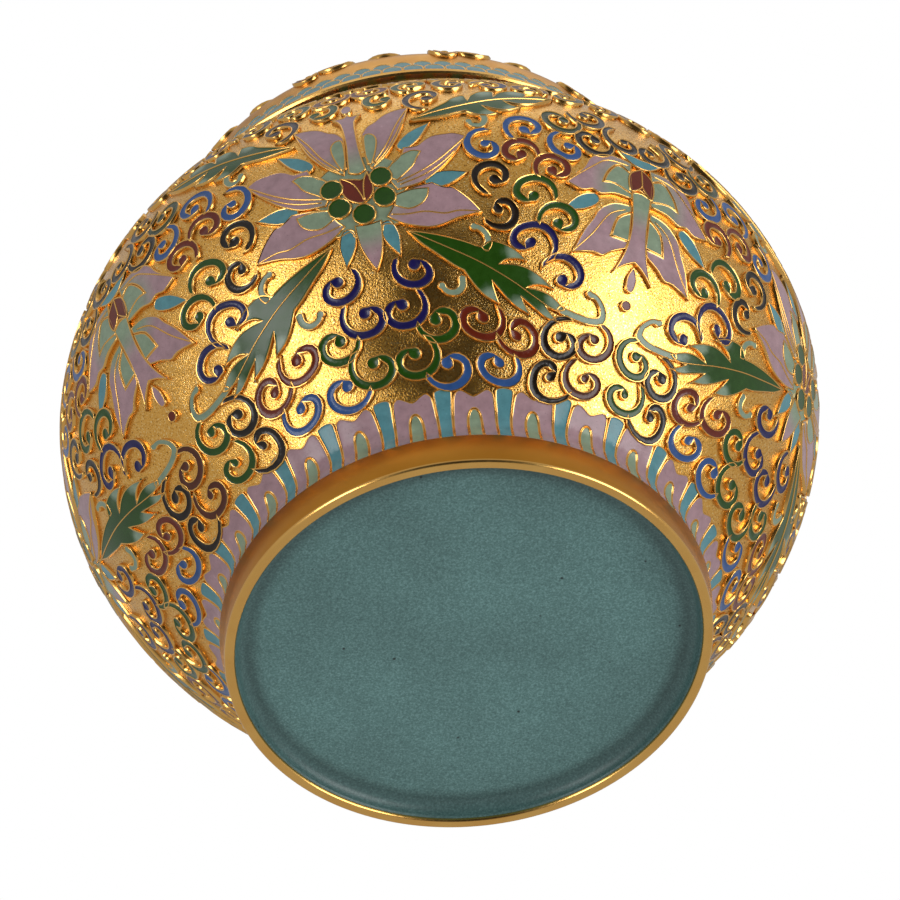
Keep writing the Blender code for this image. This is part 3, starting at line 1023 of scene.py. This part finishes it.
SIDE_SCROLLS = (
    ("black", (-12.0, -32.7), 72, 363, (5.4, 3.2, 2.0)),
    ("black", (-13.0, -40.3), -17, -313, (6.6, 2.8, 1.3)),
    ("brown", (-5.0, -31.1), 94, -325, (4.4, 3.5, 1.3)),
    ("brown", (-4.6, -39.5), 120, 315, (5.3, 3.2, 0.8)),
    ("navy", (-24.3, -11.4), -49, 325, (7.0, 3.1, 1.9)),
    ("navy", (-14.7, -18.2), 177, -254, (5.4, 3.3, 2.3)),
    ("dark_green", (-25.0, 0.1), -19, 281, (5.6, 3.2, 2.2)),
    ("dark_green", (-17.9, -5.7), 207, -287, (4.8, 3.3, 1.7)),
    ("blue", (-35.5, 11.4), 72, 340, (5.3, 2.9, 1.1)),
    ("blue", (-26.5, 18.5), 247, -316, (5.0, 3.1, 1.7)),
    ("blue", (-17.3, 13.9), 100, 305, (5.1, 2.7, 1.3)),
    ("red", (-28.4, 10.5), -14, 296, (4.6, 2.8, 1.8)),
    ("red", (-20.3, 7.4), 230, -313, (4.5, 3.0, 1.6)),
    ("olive", (-18.2, 23.3), 26, -321, (4.6, 3.4, 1.7)),
    ("black", (-11.0, 28.1), 170, 300, (4.8, 3.4, 1.5)),
    ("black", (-11.5, 18.3), 18, -297, (4.9, 3.1, 2.0)),
    ("black", (-3.3, 21.5), 100, 320, (5.7, 2.7, 0.9)),
)

# Plain scrolls in rows on the shoulder, each turned on by one angle from the last, with a
# rosette on each axis; heights are over the blossoms
SHOULDER_ROWS = (35.6, 43.4, 51.2, 59.0)
SHOULDER_ENAMELS = ("blue", "red", "dark_green", "black", "navy", "brown", "olive", "plum")
SHOULDER_RADII = (4.0, 3.0, 1.5)
GOLDEN_TURN = 137.5
SCROLL_SPACING = 8.8
ROSETTE_RISE = 49.5
ROSETTE_ROOM = 12.5

# Rosettes on the shoulder and the crown: radius, petals and radius of the heart
SHOULDER_ROSETTE = (8.6, 8, 3.0)
CROWN_ROSETTE = (21.0, 8, 6.6)
CROWN_TURN = 10.0

# Lappets round the foot and the neck
LAPPETS = 27
LAPPET_TURN = -88.5
LAPPET_FOOT = -0.7
LAPPET_LEVEL = -0.20
NECK_LAPPET_WIDTH = 0.97

# Lid: scales in two rows over its edge, and on its dome repeats of one pattern and a ring of
# scrolls, each at a length along the dome
LID_SCALES = 80
SCALE_HEIGHT = 4.5
SCALE_ROW_RISE = 3.4
DOME_REPEATS = 11
DOME_TURN = -97.0
DOME_RUN = 12.0
DOME_RING = 10
DOME_RING_RUN = 47.5
DOME_RING_SCROLL = ((0.0, 0.0), 150, 300, (4.2, 2.9, 1.6))

# Scrolls: width of the band, largest knob, degrees that the knob curls on, and steps
SCROLL_WIDTH = 2.1
SCROLL_KNOB = 1.45
SCROLL_CURL = 38.0
SCROLL_STEPS = 20

# How far the scrolls by a side blossom lie under the given places, and how much lower those
# on its right are whose height is in a range
SIDE_SCROLL_DROP = 3.5
RIGHT_SCROLL_DROP = 1.8
RIGHT_DROP_RANGE = (-25.0, 5.0)


def draw_scroll(mesh, paint, centre, start, sweep, radii):
    """Draw one scroll: a band of enamel that curls in from a thin tail to a round knob."""
    first, middle, last = radii
    curl = math.copysign(SCROLL_CURL, sweep)
    path = spiral(centre, start, sweep + curl, (first, middle, last * 0.5), SCROLL_STEPS)

    def width(share):
        return 0.5 * SCROLL_WIDTH * (0.65 + 0.35 * ease(share, 0.0, 0.3)
                                     - 0.25 * ease(share, 0.6, 1.0))

    knob = min(SCROLL_KNOB, last * 0.3 + 0.9)
    add_cell(mesh, band(path, width, knob), paint, lip=0.0, grid=None)


def draw_scrolls(mesh, scrolls):
    """Draw the scrolls of a list."""
    for name, centre, start, sweep, radii in scrolls:
        draw_scroll(mesh, tint(name), centre, start, sweep, radii)


def draw_shoulder(mesh, ground, run):
    """Draw the plain scrolls on one wedge of the shoulder, clear of the rosettes."""
    made = 0
    for rise in SHOULDER_ROWS:
        width = math.radians(DRAWN_WEDGE) * ground.at(run + rise)[0]
        count = round(width / SCROLL_SPACING)
        for index in range(count):
            x = (index + 0.5) * width / count
            made += 1
            near = min(math.hypot(x, rise - ROSETTE_RISE),
                       math.hypot(width - x, rise - ROSETTE_RISE))
            if near < ROSETTE_ROOM:
                continue
            way = 1 if made % 2 else -1
            start = (made * GOLDEN_TURN) % 360
            draw_scroll(mesh, tint(SHOULDER_ENAMELS[made % len(SHOULDER_ENAMELS)]), (x, rise),
                        start, way * (290 + 8 * (made % 5)), SHOULDER_RADII)


def draw_rosette(mesh, reach, petals, heart, outer="pink", inner="light_green"):
    """Draw a round flower: petals with green hearts, a ring of sepals and a beaded middle."""
    for index in range(petals):
        turn = 2 * math.pi * index / petals
        aim = (math.cos(turn), math.sin(turn))
        side = (-aim[1], aim[0])
        half = reach * math.sin(math.pi / petals) * 0.86

        def spot(along, across, *corner):
            return (aim[0] * along + side[0] * across, aim[1] * along + side[1] * across, *corner)

        petal = [spot(heart, -half * 0.45, 1), spot(reach * 0.66, -half),
                 spot(reach * 0.88, -half * 0.55), spot(reach, 0.0, 1),
                 spot(reach * 0.88, half * 0.55), spot(reach * 0.66, half),
                 spot(heart, half * 0.45, 1)]
        add_cell(mesh, rounded(petal), petal_paint((0.0, 0.0), heart * 1.2, reach * 0.8)
                 if outer == "pink" else tint(outer), lip=0.25)
        core = [spot(heart, -half * 0.25, 1), spot(reach * 0.5, -half * 0.5),
                spot(reach * 0.7, 0.0, 1), spot(reach * 0.5, half * 0.5),
                spot(heart, half * 0.25, 1)]
        add_cell(mesh, rounded(core), tint(inner), level=0.14, lip=0.15)
    beads = 8
    for index in range(beads):
        turn = 2 * math.pi * (index + 0.5) / beads
        add_cell(mesh, disc((heart * 0.68 * math.cos(turn), heart * 0.68 * math.sin(turn)),
                            heart * 0.27, steps=8), tint("dark_green"), level=0.2, lip=0.12,
                 grid=None)
    add_cell(mesh, disc((0.0, 0.0), heart * 0.42), tint("red"), level=0.24, lip=0.2)


def draw_bar(mesh):
    """Draw a turquoise bar of the lappet border."""
    half = [(1.45, LAPPET_FOOT, 1), (1.55, 6.5), (1.95, 11.2), (1.7, 12.6), (0.0, 13.0)]
    add_cell(mesh, rounded(half + [(-x, *rest) for x, *rest in half[-2::-1]]),
             tint("turquoise"), level=LAPPET_LEVEL, lip=0.25)


def draw_lappet(mesh):
    """Draw a pink lappet with two lobes over a green arch."""
    arch = [(1.4, 5.4), (0.9, 7.6), (0.0, 8.3), (-0.9, 7.6), (-1.4, 5.4)]
    lobes = [(-4.5, 5.0), (-4.3, 10.6), (-3.7, 12.1), (-2.7, 12.5), (-1.5, 11.9), (0.0, 11.1)]
    outline = [(-4.6, LAPPET_FOOT, 1)] + lobes + [(-x, y) for x, y in lobes[-2::-1]]
    outline += [(4.6, LAPPET_FOOT, 1), (1.5, LAPPET_FOOT, 1)] + arch
    outline += [(-1.5, LAPPET_FOOT, 1)]

    def paint(x, y):
        return blend(blend(tint("pink"), tint("turquoise"), 0.2), tint("pink"), ease(y, 0.0, 4.0))

    add_cell(mesh, rounded(outline), paint, level=LAPPET_LEVEL, lip=0.25)
    add_cell(mesh, rounded([(1.5, LAPPET_FOOT, 1)] + arch + [(-1.5, LAPPET_FOOT, 1)]),
             tint("light_green"), level=LAPPET_LEVEL - 0.02, lip=0.2)


def draw_neck_panel(mesh, width, height):
    """Draw one light green panel of the neck with a pink cloud lobe in it."""
    half = width / 2
    add_cell(mesh, [(-half, 0.3), (half, 0.3), (half, height), (-half, height)],
             tint("light_green"), level=-0.45, lip=0.0)
    cloud = rounded([(-4.2, 1.0, 1), (-4.6, 5.2), (-3.4, 8.6), (0.0, 10.2), (3.4, 8.6),
                     (4.6, 5.2), (4.2, 1.0, 1), (2.2, 2.6), (0.0, 3.2), (-2.2, 2.6)])
    add_cell(mesh, cloud, tint("pink"), level=-0.25, lip=0.25)


def draw_scale(mesh, width, level):
    """Draw one fish scale of the lid's border."""
    half = width / 2
    side = SCALE_HEIGHT - half * 0.95
    top = [(half * math.cos(math.radians(turn)), side + half * 0.95 * math.sin(math.radians(turn)))
           for turn in range(0, 181, 30)]

    def paint(x, y):
        return blend(tint("turquoise"), tint("light_green"), 0.6 * ease(y, 2.5, SCALE_HEIGHT))

    add_cell(mesh, [(-half, 0.1), (half, 0.1)] + top, paint, level=level, lip=0.2, grid=None)


def draw_dome_ornament(mesh):
    """Draw one repeat of the dome's ornament: red curls, a brown coil and blue petals."""
    def swell(share):
        return 0.5 + 0.55 * math.sin(math.pi * min(share * 1.15, 1.0)) ** 0.8

    big = spiral((-6.5, 5.6), 215, 300, (4.9, 4.2, 1.9), 18)
    add_cell(mesh, band(big, swell, 1.3), tint("red"), lip=0.1, grid=None)
    small = spiral((-13.4, 2.2), -10, -290, (3.2, 2.6, 1.3), 14)
    add_cell(mesh, band(small, lambda share: 0.45 + 0.25 * ease(share, 0.0, 0.4), 1.0),
             tint("red"), lip=0.0, grid=None)
    coil = spiral((5.6, 6.4), 20, 760, (5.2, 3.3, 0.6), 40)
    add_cell(mesh, band(coil, lambda share: 0.42 + 0.16 * ease(share, 0.0, 0.3), 0.8),
             tint("brown"), lip=0.0, grid=None)
    for turn, name in ((35, "navy"), (90, "blue"), (145, "navy"), (215, "turquoise"),
                       (325, "turquoise")):
        aim = (math.cos(math.radians(turn)), math.sin(math.radians(turn)))
        add_cell(mesh, sepal((-0.4 + 1.2 * aim[0], 17.0 + 1.2 * aim[1]),
                             (-0.4 + 5.2 * aim[0], 17.0 + 5.2 * aim[1]), 2.6),
                 tint(name), lip=0.15, grid=None)
    add_cell(mesh, disc((-0.4, 17.0), 1.4, steps=10), tint("red"), level=0.05, lip=0.15,
             grid=None)
    for centre, start, way, name in (((9.4, 15.0), 200, 1, "dark_green"),
                                     ((-9.2, 15.4), -20, -1, "black"),
                                     ((6.2, 24.4), 250, 1, "blue"),
                                     ((-6.0, 25.0), -70, -1, "plum")):
        draw_scroll(mesh, tint(name), centre, start, way * 300, (3.5, 2.7, 1.4))


def wedge_places(ground, first, run):
    """Return the places of a drawing on both sides of every other axis."""
    return [(on_wedge(ground, index, side, run), side < 0)
            for index in range(first, len(AXES), 2) for side in (1, -1)]


def axis_places(ground, first, run):
    """Return the places of a drawing that stands over every other axis."""
    return [(on_wedge(ground, index, 0, run), False) for index in range(first, len(AXES), 2)]


def ring_places(ground, count, first_turn, run, mirrored=False, stretch=1.0):
    """Return the places of a drawing that is repeated round a turned ground."""
    return [(on_ring(ground, first_turn + 360.0 * index / count, run, stretch,
                     -1 if mirrored else 1), mirrored) for index in range(count)]


# Operators, one for each piece or group of pieces

# Places of the gildings in a shell's list of materials
POLISHED, FIELD, WORN = range(3)


def shell_band(radius, height):
    """Return the material of a face of the jar's shell: polished, punched or worn gilding."""
    if height < FOOT_HEIGHT + 0.1 and radius > FOOT_INNER_RADIUS - 0.5:
        return WORN if height > FOOT_EDGE and radius > FOOT_RADIUS - 0.2 else POLISHED
    return POLISHED if height > MOUTH_HEIGHT - POLISHED_RIM else FIELD


def inside_curve(clearance):
    """Return the inside of body and neck over the bottom's fillet, and the fillet's centre."""
    floor = BASE_RECESS + WALL
    curve = [point for point in offset(body_curve() + neck_curve()[1:], WALL)[::3]
             if floor + 2 * BASE_FILLET < point[1] < MOUTH_HEIGHT - clearance]
    return curve, (curve[0][0] - BASE_FILLET, floor + BASE_FILLET)


def inside_dome(clearance):
    """Return the inside of the lid's dome, from clear of its seat to the crown."""
    outside = lid_curve()
    seat = MOUTH_RADIUS + LID_CLEARANCE - LID_SEAT_WIDTH
    dome = [point for point in offset(outside, LID_WALL)
            if point[0] < seat - clearance and point[1] > MOUTH_HEIGHT + REST_GAP + 1.0]
    dome[-1] = (0.0, outside[-1][1] - LID_WALL)
    return dome


def body_ground():
    """Return the body's ground, and the length along it up to the front blossoms' centres."""
    ground = Ground(body_curve())
    return ground, ground.length_at(BLOSSOM_HEIGHT)


class JAR_OT_shell(bpy.types.Operator):
    """Make the jar's gilt shell with its foot ring, punched ground, neck and rim"""

    bl_idname = "ginger_jar.shell"
    bl_label = "Jar shell"

    def execute(self, context):
        outside = arc((FOOT_RADIUS - FOOT_EDGE, FOOT_EDGE), FOOT_EDGE, -90, 0, 5)
        outside += [(FOOT_TOP_RADIUS, FOOT_HEIGHT - 0.3), (FOOT_TOP_RADIUS - 0.2, FOOT_HEIGHT)]
        outside += body_curve() + neck_curve()[1:]
        outside.append((MOUTH_RADIUS - MOUTH_EDGE, MOUTH_HEIGHT))
        inner, corner = inside_curve(WALL)
        inside = [(0.0, BASE_RECESS + WALL)] + arc(corner, BASE_FILLET, -90, -20, 6) + inner
        inside += [(MOUTH_RADIUS - WALL, MOUTH_HEIGHT - MOUTH_EDGE),
                   (MOUTH_RADIUS - WALL + MOUTH_EDGE, MOUTH_HEIGHT)]
        under = arc((FOOT_INNER_RADIUS + FOOT_EDGE, FOOT_EDGE), FOOT_EDGE, -90, -180, 5)
        under += arc((FOOT_INNER_RADIUS - BASE_FILLET, BASE_RECESS - BASE_FILLET),
                     BASE_FILLET, 0, 90, 6)
        under.append((0.0, BASE_RECESS))
        shell = turned("jar_shell", inside + outside[::-1] + under,
                       [gilt_wire(), gilt_ground(), gilt_foot()], shell_band)
        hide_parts("jar_body")
        return {'FINISHED'}


class JAR_OT_counter_enamel(bpy.types.Operator):
    """Lay the speckled counter enamel under the base, inside the jar and inside the lid"""

    bl_idname = "ginger_jar.counter_enamel"
    bl_label = "Counter enamel"

    def execute(self, context):
        skin = sizes().enamel_skin / MM
        corner = (FOOT_INNER_RADIUS - BASE_FILLET, BASE_RECESS - BASE_FILLET)
        hidden = [(FOOT_INNER_RADIUS + SKIN_OVERLAP, 0.9)]
        hidden += arc(corner, BASE_FILLET + SKIN_OVERLAP, 0, 90, 8)
        hidden.append((0.0, BASE_RECESS + SKIN_OVERLAP))
        shown = [(FOOT_INNER_RADIUS - skin, 1.2)] + arc(corner, BASE_FILLET - skin, 0, 90, 8)
        shown.append((0.0, BASE_RECESS - skin))
        self.line("base_counter_enamel", hidden[::-1] + shown)
        floor = BASE_RECESS + WALL
        inner, bend = inside_curve(2 * WALL)
        hidden = offset(arc(bend, BASE_FILLET, -90, -20, 6) + inner, -SKIN_OVERLAP)
        hidden.insert(0, (0.0, floor - SKIN_OVERLAP))
        shown = [(0.0, floor + skin)] + arc(bend, BASE_FILLET - skin, -90, -20, 6)
        shown += offset(inner, skin)
        self.line("inside_counter_enamel", shown + hidden[::-1])
        dome = inside_dome(2.0)
        hidden, shown = (offset(dome, depth)[:-1] + [(0.0, dome[-1][1] - depth)]
                         for depth in (-SKIN_OVERLAP, skin))
        self.line("lid_counter_enamel", hidden[::-1] + shown)
        return {'FINISHED'}

    def line(self, name, section):
        """Make a thin skin of counter enamel from its section."""
        turned(name, section, [counter_enamel()], lambda radius, height: 0,
               60.0)


class JAR_OT_blossoms(bpy.types.Operator):
    """Lay the front and side blossoms in turn round the belly"""

    bl_idname = "ginger_jar.blossoms"
    bl_label = "Blossoms"

    def execute(self, context):
        ground, run = body_ground()
        for name, first, rise, middle, half in (
                ("front_blossoms", 0, 0.0, draw_front_middle, draw_front_side),
                ("side_blossoms", 1, SIDE_BLOSSOM_RISE, draw_side_middle, draw_side_half)):
            ornament(name, [(drawing(middle), axis_places(ground, first, run + rise)),
                            (drawing(half), wedge_places(ground, first, run + rise))])
        return {'FINISHED'}


class JAR_OT_leaves(bpy.types.Operator):
    """Lay the long lobed leaves between the blossoms"""

    bl_idname = "ginger_jar.leaves"
    bl_label = "Leaves"

    def execute(self, context):
        ground, run = body_ground()
        ornament("leaves", [(drawing(draw_leaves), wedge_places(ground, 0, run))])
        return {'FINISHED'}


def mirrored_scrolls(scrolls):
    """Return scrolls drawn on the other side of their axis."""
    return tuple((name, (-x, y), 180 - start, -sweep, radii)
                 for name, (x, y), start, sweep, radii in scrolls)


def right_half(scrolls):
    """Return a side blossom's scrolls for its right: green for brown, the middle ones lower."""
    low, high = RIGHT_DROP_RANGE
    return tuple(("dark_green" if name == "brown" else name,
                  (x, y - (RIGHT_SCROLL_DROP if low < y < high else 0.0)), start, sweep, radii)
                 for name, (x, y), start, sweep, radii in scrolls)


class JAR_OT_scrolls(bpy.types.Operator):
    """Strew the ground between the flowers with curled scrolls"""

    bl_idname = "ginger_jar.scrolls"
    bl_label = "Scrolls"

    def execute(self, context):
        ground, run = body_ground()
        side_scrolls = mirrored_scrolls(SIDE_SCROLLS)
        places = wedge_places(ground, 1, run - SIDE_SCROLL_DROP)
        ornament("belly_scrolls", [
            (drawing(draw_scrolls, FRONT_SCROLLS), wedge_places(ground, 0, run)),
            (drawing(draw_scrolls, right_half(side_scrolls)),
             [place for place in places if not place[1]]),
            (drawing(draw_scrolls, side_scrolls), [place for place in places if place[1]])])
        return {'FINISHED'}


class JAR_OT_shoulder(bpy.types.Operator):
    """Lay rosettes and rows of scrolls on the shoulder"""

    bl_idname = "ginger_jar.shoulder"
    bl_label = "Shoulder"

    def execute(self, context):
        ground, run = body_ground()
        ornament("shoulder_scrolls", [
            (drawing(draw_shoulder, ground, run), wedge_places(ground, 0, run))])
        rise = run + ROSETTE_RISE
        rosette = [place for first in (0, 1) for place in axis_places(ground, first, rise)]
        ornament("shoulder_rosettes", [(drawing(draw_rosette, *SHOULDER_ROSETTE), rosette)])
        return {'FINISHED'}


class JAR_OT_borders(bpy.types.Operator):
    """Lay the lappets round the foot and the neck, and the panels of the neck"""

    bl_idname = "ginger_jar.borders"
    bl_label = "Borders"

    def execute(self, context):
        ground = Ground(body_curve())
        half = 180.0 / LAPPETS
        for name, run, flipped, stretch in (
                ("foot_lappets", 0.0, False, 1.0),
                ("shoulder_lappets", ground.total(), True, NECK_LAPPET_WIDTH)):
            ornament(name, [
                (drawing(draw), ring_places(ground, LAPPETS, LAPPET_TURN + turn, run, flipped,
                                            stretch))
                for draw, turn in ((draw_bar, 0.0), (draw_lappet, half))])
        neck = Ground(neck_curve())
        width = 2 * math.pi * NECK_RADIUS / LAPPETS
        panel = drawing(draw_neck_panel, width, neck.total() - 1.4)
        ornament("neck_panels", [(panel, ring_places(neck, LAPPETS, LAPPET_TURN, 0.0))])
        return {'FINISHED'}


def lid_band(radius, height):
    """Return the material of a face of the lid's shell: polished edge or satin ground."""
    edge = height < LID_RIM_HEIGHT + LID_EDGE_HEIGHT + 0.05
    return POLISHED if edge or radius < 0.1 else FIELD


class JAR_OT_lid(bpy.types.Operator):
    """Make the lid: its gilt shell, two rows of scales and the ornament of its dome"""

    bl_idname = "ginger_jar.lid"
    bl_label = "Lid"

    def execute(self, context):
        outside = lid_curve()
        edge_radius = outside[0][0] + LID_EDGE_STEP
        rim = LID_RIM_HEIGHT
        edge = [(edge_radius - LID_WALL, rim + 0.2), (edge_radius - LID_WALL + 0.3, rim),
                (edge_radius - 0.4, rim), (edge_radius, rim + 0.4),
                (edge_radius, rim + LID_EDGE_HEIGHT - 0.5),
                (edge_radius - 0.4, rim + LID_EDGE_HEIGHT - 0.1)]
        seat_radius = MOUTH_RADIUS + LID_CLEARANCE
        seat = MOUTH_HEIGHT + REST_GAP
        inside = [(seat_radius, seat), (seat_radius - LID_SEAT_WIDTH, seat)] + inside_dome(1.0)
        shell = turned("lid_shell", outside[::-1] + edge[::-1] + inside,
                       [gilt_wire(), gilt_satin()], lid_band)
        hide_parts("lid")
        ground = Ground(outside)
        step = 360.0 / LID_SCALES
        ornament("lid_scales", [
            (drawing(draw_scale, 0.98 * 2 * math.pi * ground.at(rise)[0] / LID_SCALES, level),
             ring_places(ground, LID_SCALES, turn, rise))
            for rise, level, turn in ((SCALE_ROW_RISE, -0.35, step / 2), (0.0, -0.1, 0.0))])
        ring = [(drawing(draw_scroll, tint(name), *DOME_RING_SCROLL),
                 ring_places(ground, DOME_RING, turn, DOME_RING_RUN, mirrored))
                for name, turn, mirrored in (("dark_green", 0.0, False),
                                             ("navy", 180.0 / DOME_RING, True))]
        ornament("lid_dome", [
            (drawing(draw_dome_ornament), ring_places(ground, DOME_REPEATS, DOME_TURN, DOME_RUN)),
            *ring, (drawing(draw_rosette, *CROWN_ROSETTE), [(on_crown(ground, CROWN_TURN), False)])])
        return {'FINISHED'}


PIECES = (JAR_OT_shell, JAR_OT_counter_enamel, JAR_OT_blossoms, JAR_OT_leaves, JAR_OT_scrolls,
          JAR_OT_shoulder, JAR_OT_borders, JAR_OT_lid)


# Studio

CAMERA_TILT = 39.79
CAMERA_ROLL = 7.65
CAMERA_REACH = (4.25, 42.75, 1065.7)
FOCAL_PIXELS = 5005.0
SENSOR = 36.0
FLOOR_REACH = 3.0

# Studio light: the room's own, a dim patch in front of the jar, and soft boxes (name, degrees
# right of the camera, degrees above it, size in metres, power in watts)
ROOM_LIGHT = 0.5
DIM_LIGHT = 0.03
DIM_TURN, DIM_RISE, DIM_REACH = 6.0, 26.0, 50.0
BOX_DISTANCE = 1.1
SOFT_BOXES = (
    ("left_box", -46.0, 15.0, (0.34, 0.7), 4.2),
    ("right_box", 58.0, 15.0, (0.7, 0.7), 7.6),
    ("top_box", 0.0, 122.0, (1.2, 0.7), 1.2),
)


def camera_axes():
    """Return the jar's three axes as the camera sees them: right, down and away."""
    tilt, roll = math.radians(CAMERA_TILT), math.radians(CAMERA_ROLL)
    upright = Vector((-math.sin(tilt) * math.sin(roll), -math.sin(tilt) * math.cos(roll),
                      math.cos(tilt)))
    across = Vector((math.cos(roll), -math.sin(roll), 0.0))
    return across, upright.cross(across), upright


def seen_from_camera(right, down, away):
    """Return a direction or place given along the camera's axes in the jar's frame."""
    place = Vector((right, down, away))
    return Vector([place.dot(axis) for axis in camera_axes()])


def toward(turn, rise):
    """Return the direction that lies so many degrees right of and above the camera's side."""
    turn, rise = math.radians(turn), math.radians(rise)
    return seen_from_camera(math.sin(turn) * math.cos(rise), -math.sin(rise),
                            -math.cos(turn) * math.cos(rise))


class JAR_OT_studio(bpy.types.Operator):
    """Set the camera, the pale floor and the soft lights"""

    bl_idname = "ginger_jar.studio"
    bl_label = "Studio"

    def execute(self, context):
        scene = context.scene
        scene.view_settings.view_transform = 'Standard'
        lens = bpy.data.cameras.new("camera")
        lens.sensor_width = SENSOR
        lens.lens = FOCAL_PIXELS / PHOTO_SIZE * SENSOR
        lens.clip_end = 20.0
        camera = bpy.data.objects.new("camera", lens)
        right, down, away = (seen_from_camera(*axis) for axis in
                             ((1, 0, 0), (0, 1, 0), (0, 0, 1)))
        place = -seen_from_camera(*CAMERA_REACH) * MM
        turn = Matrix((right, -down, -away)).transposed().to_4x4()
        camera.matrix_world = Matrix.Translation(place) @ turn
        scene.collection.objects.link(camera)
        scene.camera = camera
        self.lay_floor(scene)
        self.light_room(scene)
        return {'FINISHED'}

    def light_room(self, scene):
        """Light the room softly: a dim patch in front, soft boxes on either side and above."""
        world = bpy.data.worlds.new("studio")
        world.use_nodes = True
        scene.world = world
        tree = world.node_tree
        back = tree.nodes["Background"]
        gaze = tree.nodes.new("ShaderNodeTexCoord").outputs["Generated"]
        near = node(tree, "ShaderNodeVectorMath", {"operation": 'DOT_PRODUCT'}, i0=gaze,
                    i1=toward(DIM_TURN, DIM_RISE))
        room = node(tree, "ShaderNodeMapRange", {"interpolation_type": 'SMOOTHSTEP'},
                    Value=near.outputs["Value"], From_Min=math.cos(math.radians(DIM_REACH)),
                    From_Max=math.cos(math.radians(DIM_REACH * 0.35)), To_Min=ROOM_LIGHT,
                    To_Max=DIM_LIGHT)
        seen = tree.nodes.new("ShaderNodeLightPath").outputs["Is Camera Ray"]
        strength = node(tree, "ShaderNodeMix", {"data_type": 'FLOAT'}, i0=seen,
                        i2=room.outputs[0], i3=1.0)
        tree.links.new(strength.outputs[0], back.inputs["Strength"])
        back.inputs["Color"].default_value = (1.0, 1.0, 1.0, 1.0)
        centre = Vector((0.0, 0.0, 0.5 * CROWN_HEIGHT * MM))
        for name, turn, rise, size, power in SOFT_BOXES:
            data = bpy.data.lights.new(name, 'AREA')
            data.shape = 'RECTANGLE'
            data.size, data.size_y = size
            data.energy = power
            lamp = bpy.data.objects.new(name, data)
            spot = centre + toward(turn, rise) * BOX_DISTANCE
            lamp.matrix_world = (Matrix.Translation(spot)
                                 @ (centre - spot).to_track_quat('-Z', 'Y').to_matrix().to_4x4())
            scene.collection.objects.link(lamp)
            lamp.light_linking.receiver_collection = self.unlit_floor()

    def unlit_floor(self):
        """Return the collection that keeps the soft boxes' light off the floor."""
        if "off the floor" in bpy.data.collections:
            return bpy.data.collections["off the floor"]
        group = bpy.data.collections.new("off the floor")
        group.objects.link(bpy.data.objects["floor"])
        group.collection_objects[0].light_linking.link_state = 'EXCLUDE'
        return group

    def lay_floor(self, scene):
        """Lay a pale floor that only the camera sees."""
        mesh = bmesh.new()
        bmesh.ops.create_grid(mesh, x_segments=1, y_segments=1, size=FLOOR_REACH)
        floor = bpy.data.objects.new("floor", mesh_data(mesh, "floor"))
        floor.data.materials.append(material_of("Matt studio board", studio_board))
        floor.visible_shadow = False
        floor.visible_diffuse = False
        floor.visible_glossy = False
        scene.collection.objects.link(floor)


class JAR_PT_panel(bpy.types.Panel):
    """List the jar's pieces, sizes and colours"""

    bl_idname = "JAR_PT_panel"
    bl_label = "Ginger Jar"
    bl_space_type = 'VIEW_3D'
    bl_region_type = 'UI'
    bl_category = "Ginger Jar"

    def draw(self, context):
        for operator in PIECES + (JAR_OT_studio,):
            self.layout.operator(operator.bl_idname)
        for group in (context.scene.jar_sizes, context.scene.jar_enamel, context.scene.jar_gilt):
            box = self.layout.box()
            for key in group.__annotations__:
                box.prop(group, key)


GROUPS = (JarSizes, EnamelColours, GiltColours)
CLASSES = GROUPS + PIECES + (JAR_OT_studio, JAR_PT_panel)


def register():
    for item in CLASSES:
        bpy.utils.register_class(item)
    bpy.types.Scene.jar_sizes = bpy.props.PointerProperty(type=JarSizes)
    bpy.types.Scene.jar_enamel = bpy.props.PointerProperty(type=EnamelColours)
    bpy.types.Scene.jar_gilt = bpy.props.PointerProperty(type=GiltColours)


def unregister():
    del bpy.types.Scene.jar_gilt
    del bpy.types.Scene.jar_enamel
    del bpy.types.Scene.jar_sizes
    for item in reversed(CLASSES):
        bpy.utils.unregister_class(item)


def main():
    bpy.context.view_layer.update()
    register()
    for item in PIECES + (JAR_OT_studio,):
        group, name = item.bl_idname.split(".")
        getattr(getattr(bpy.ops, group), name)()


if __name__ == "__main__":
    main()
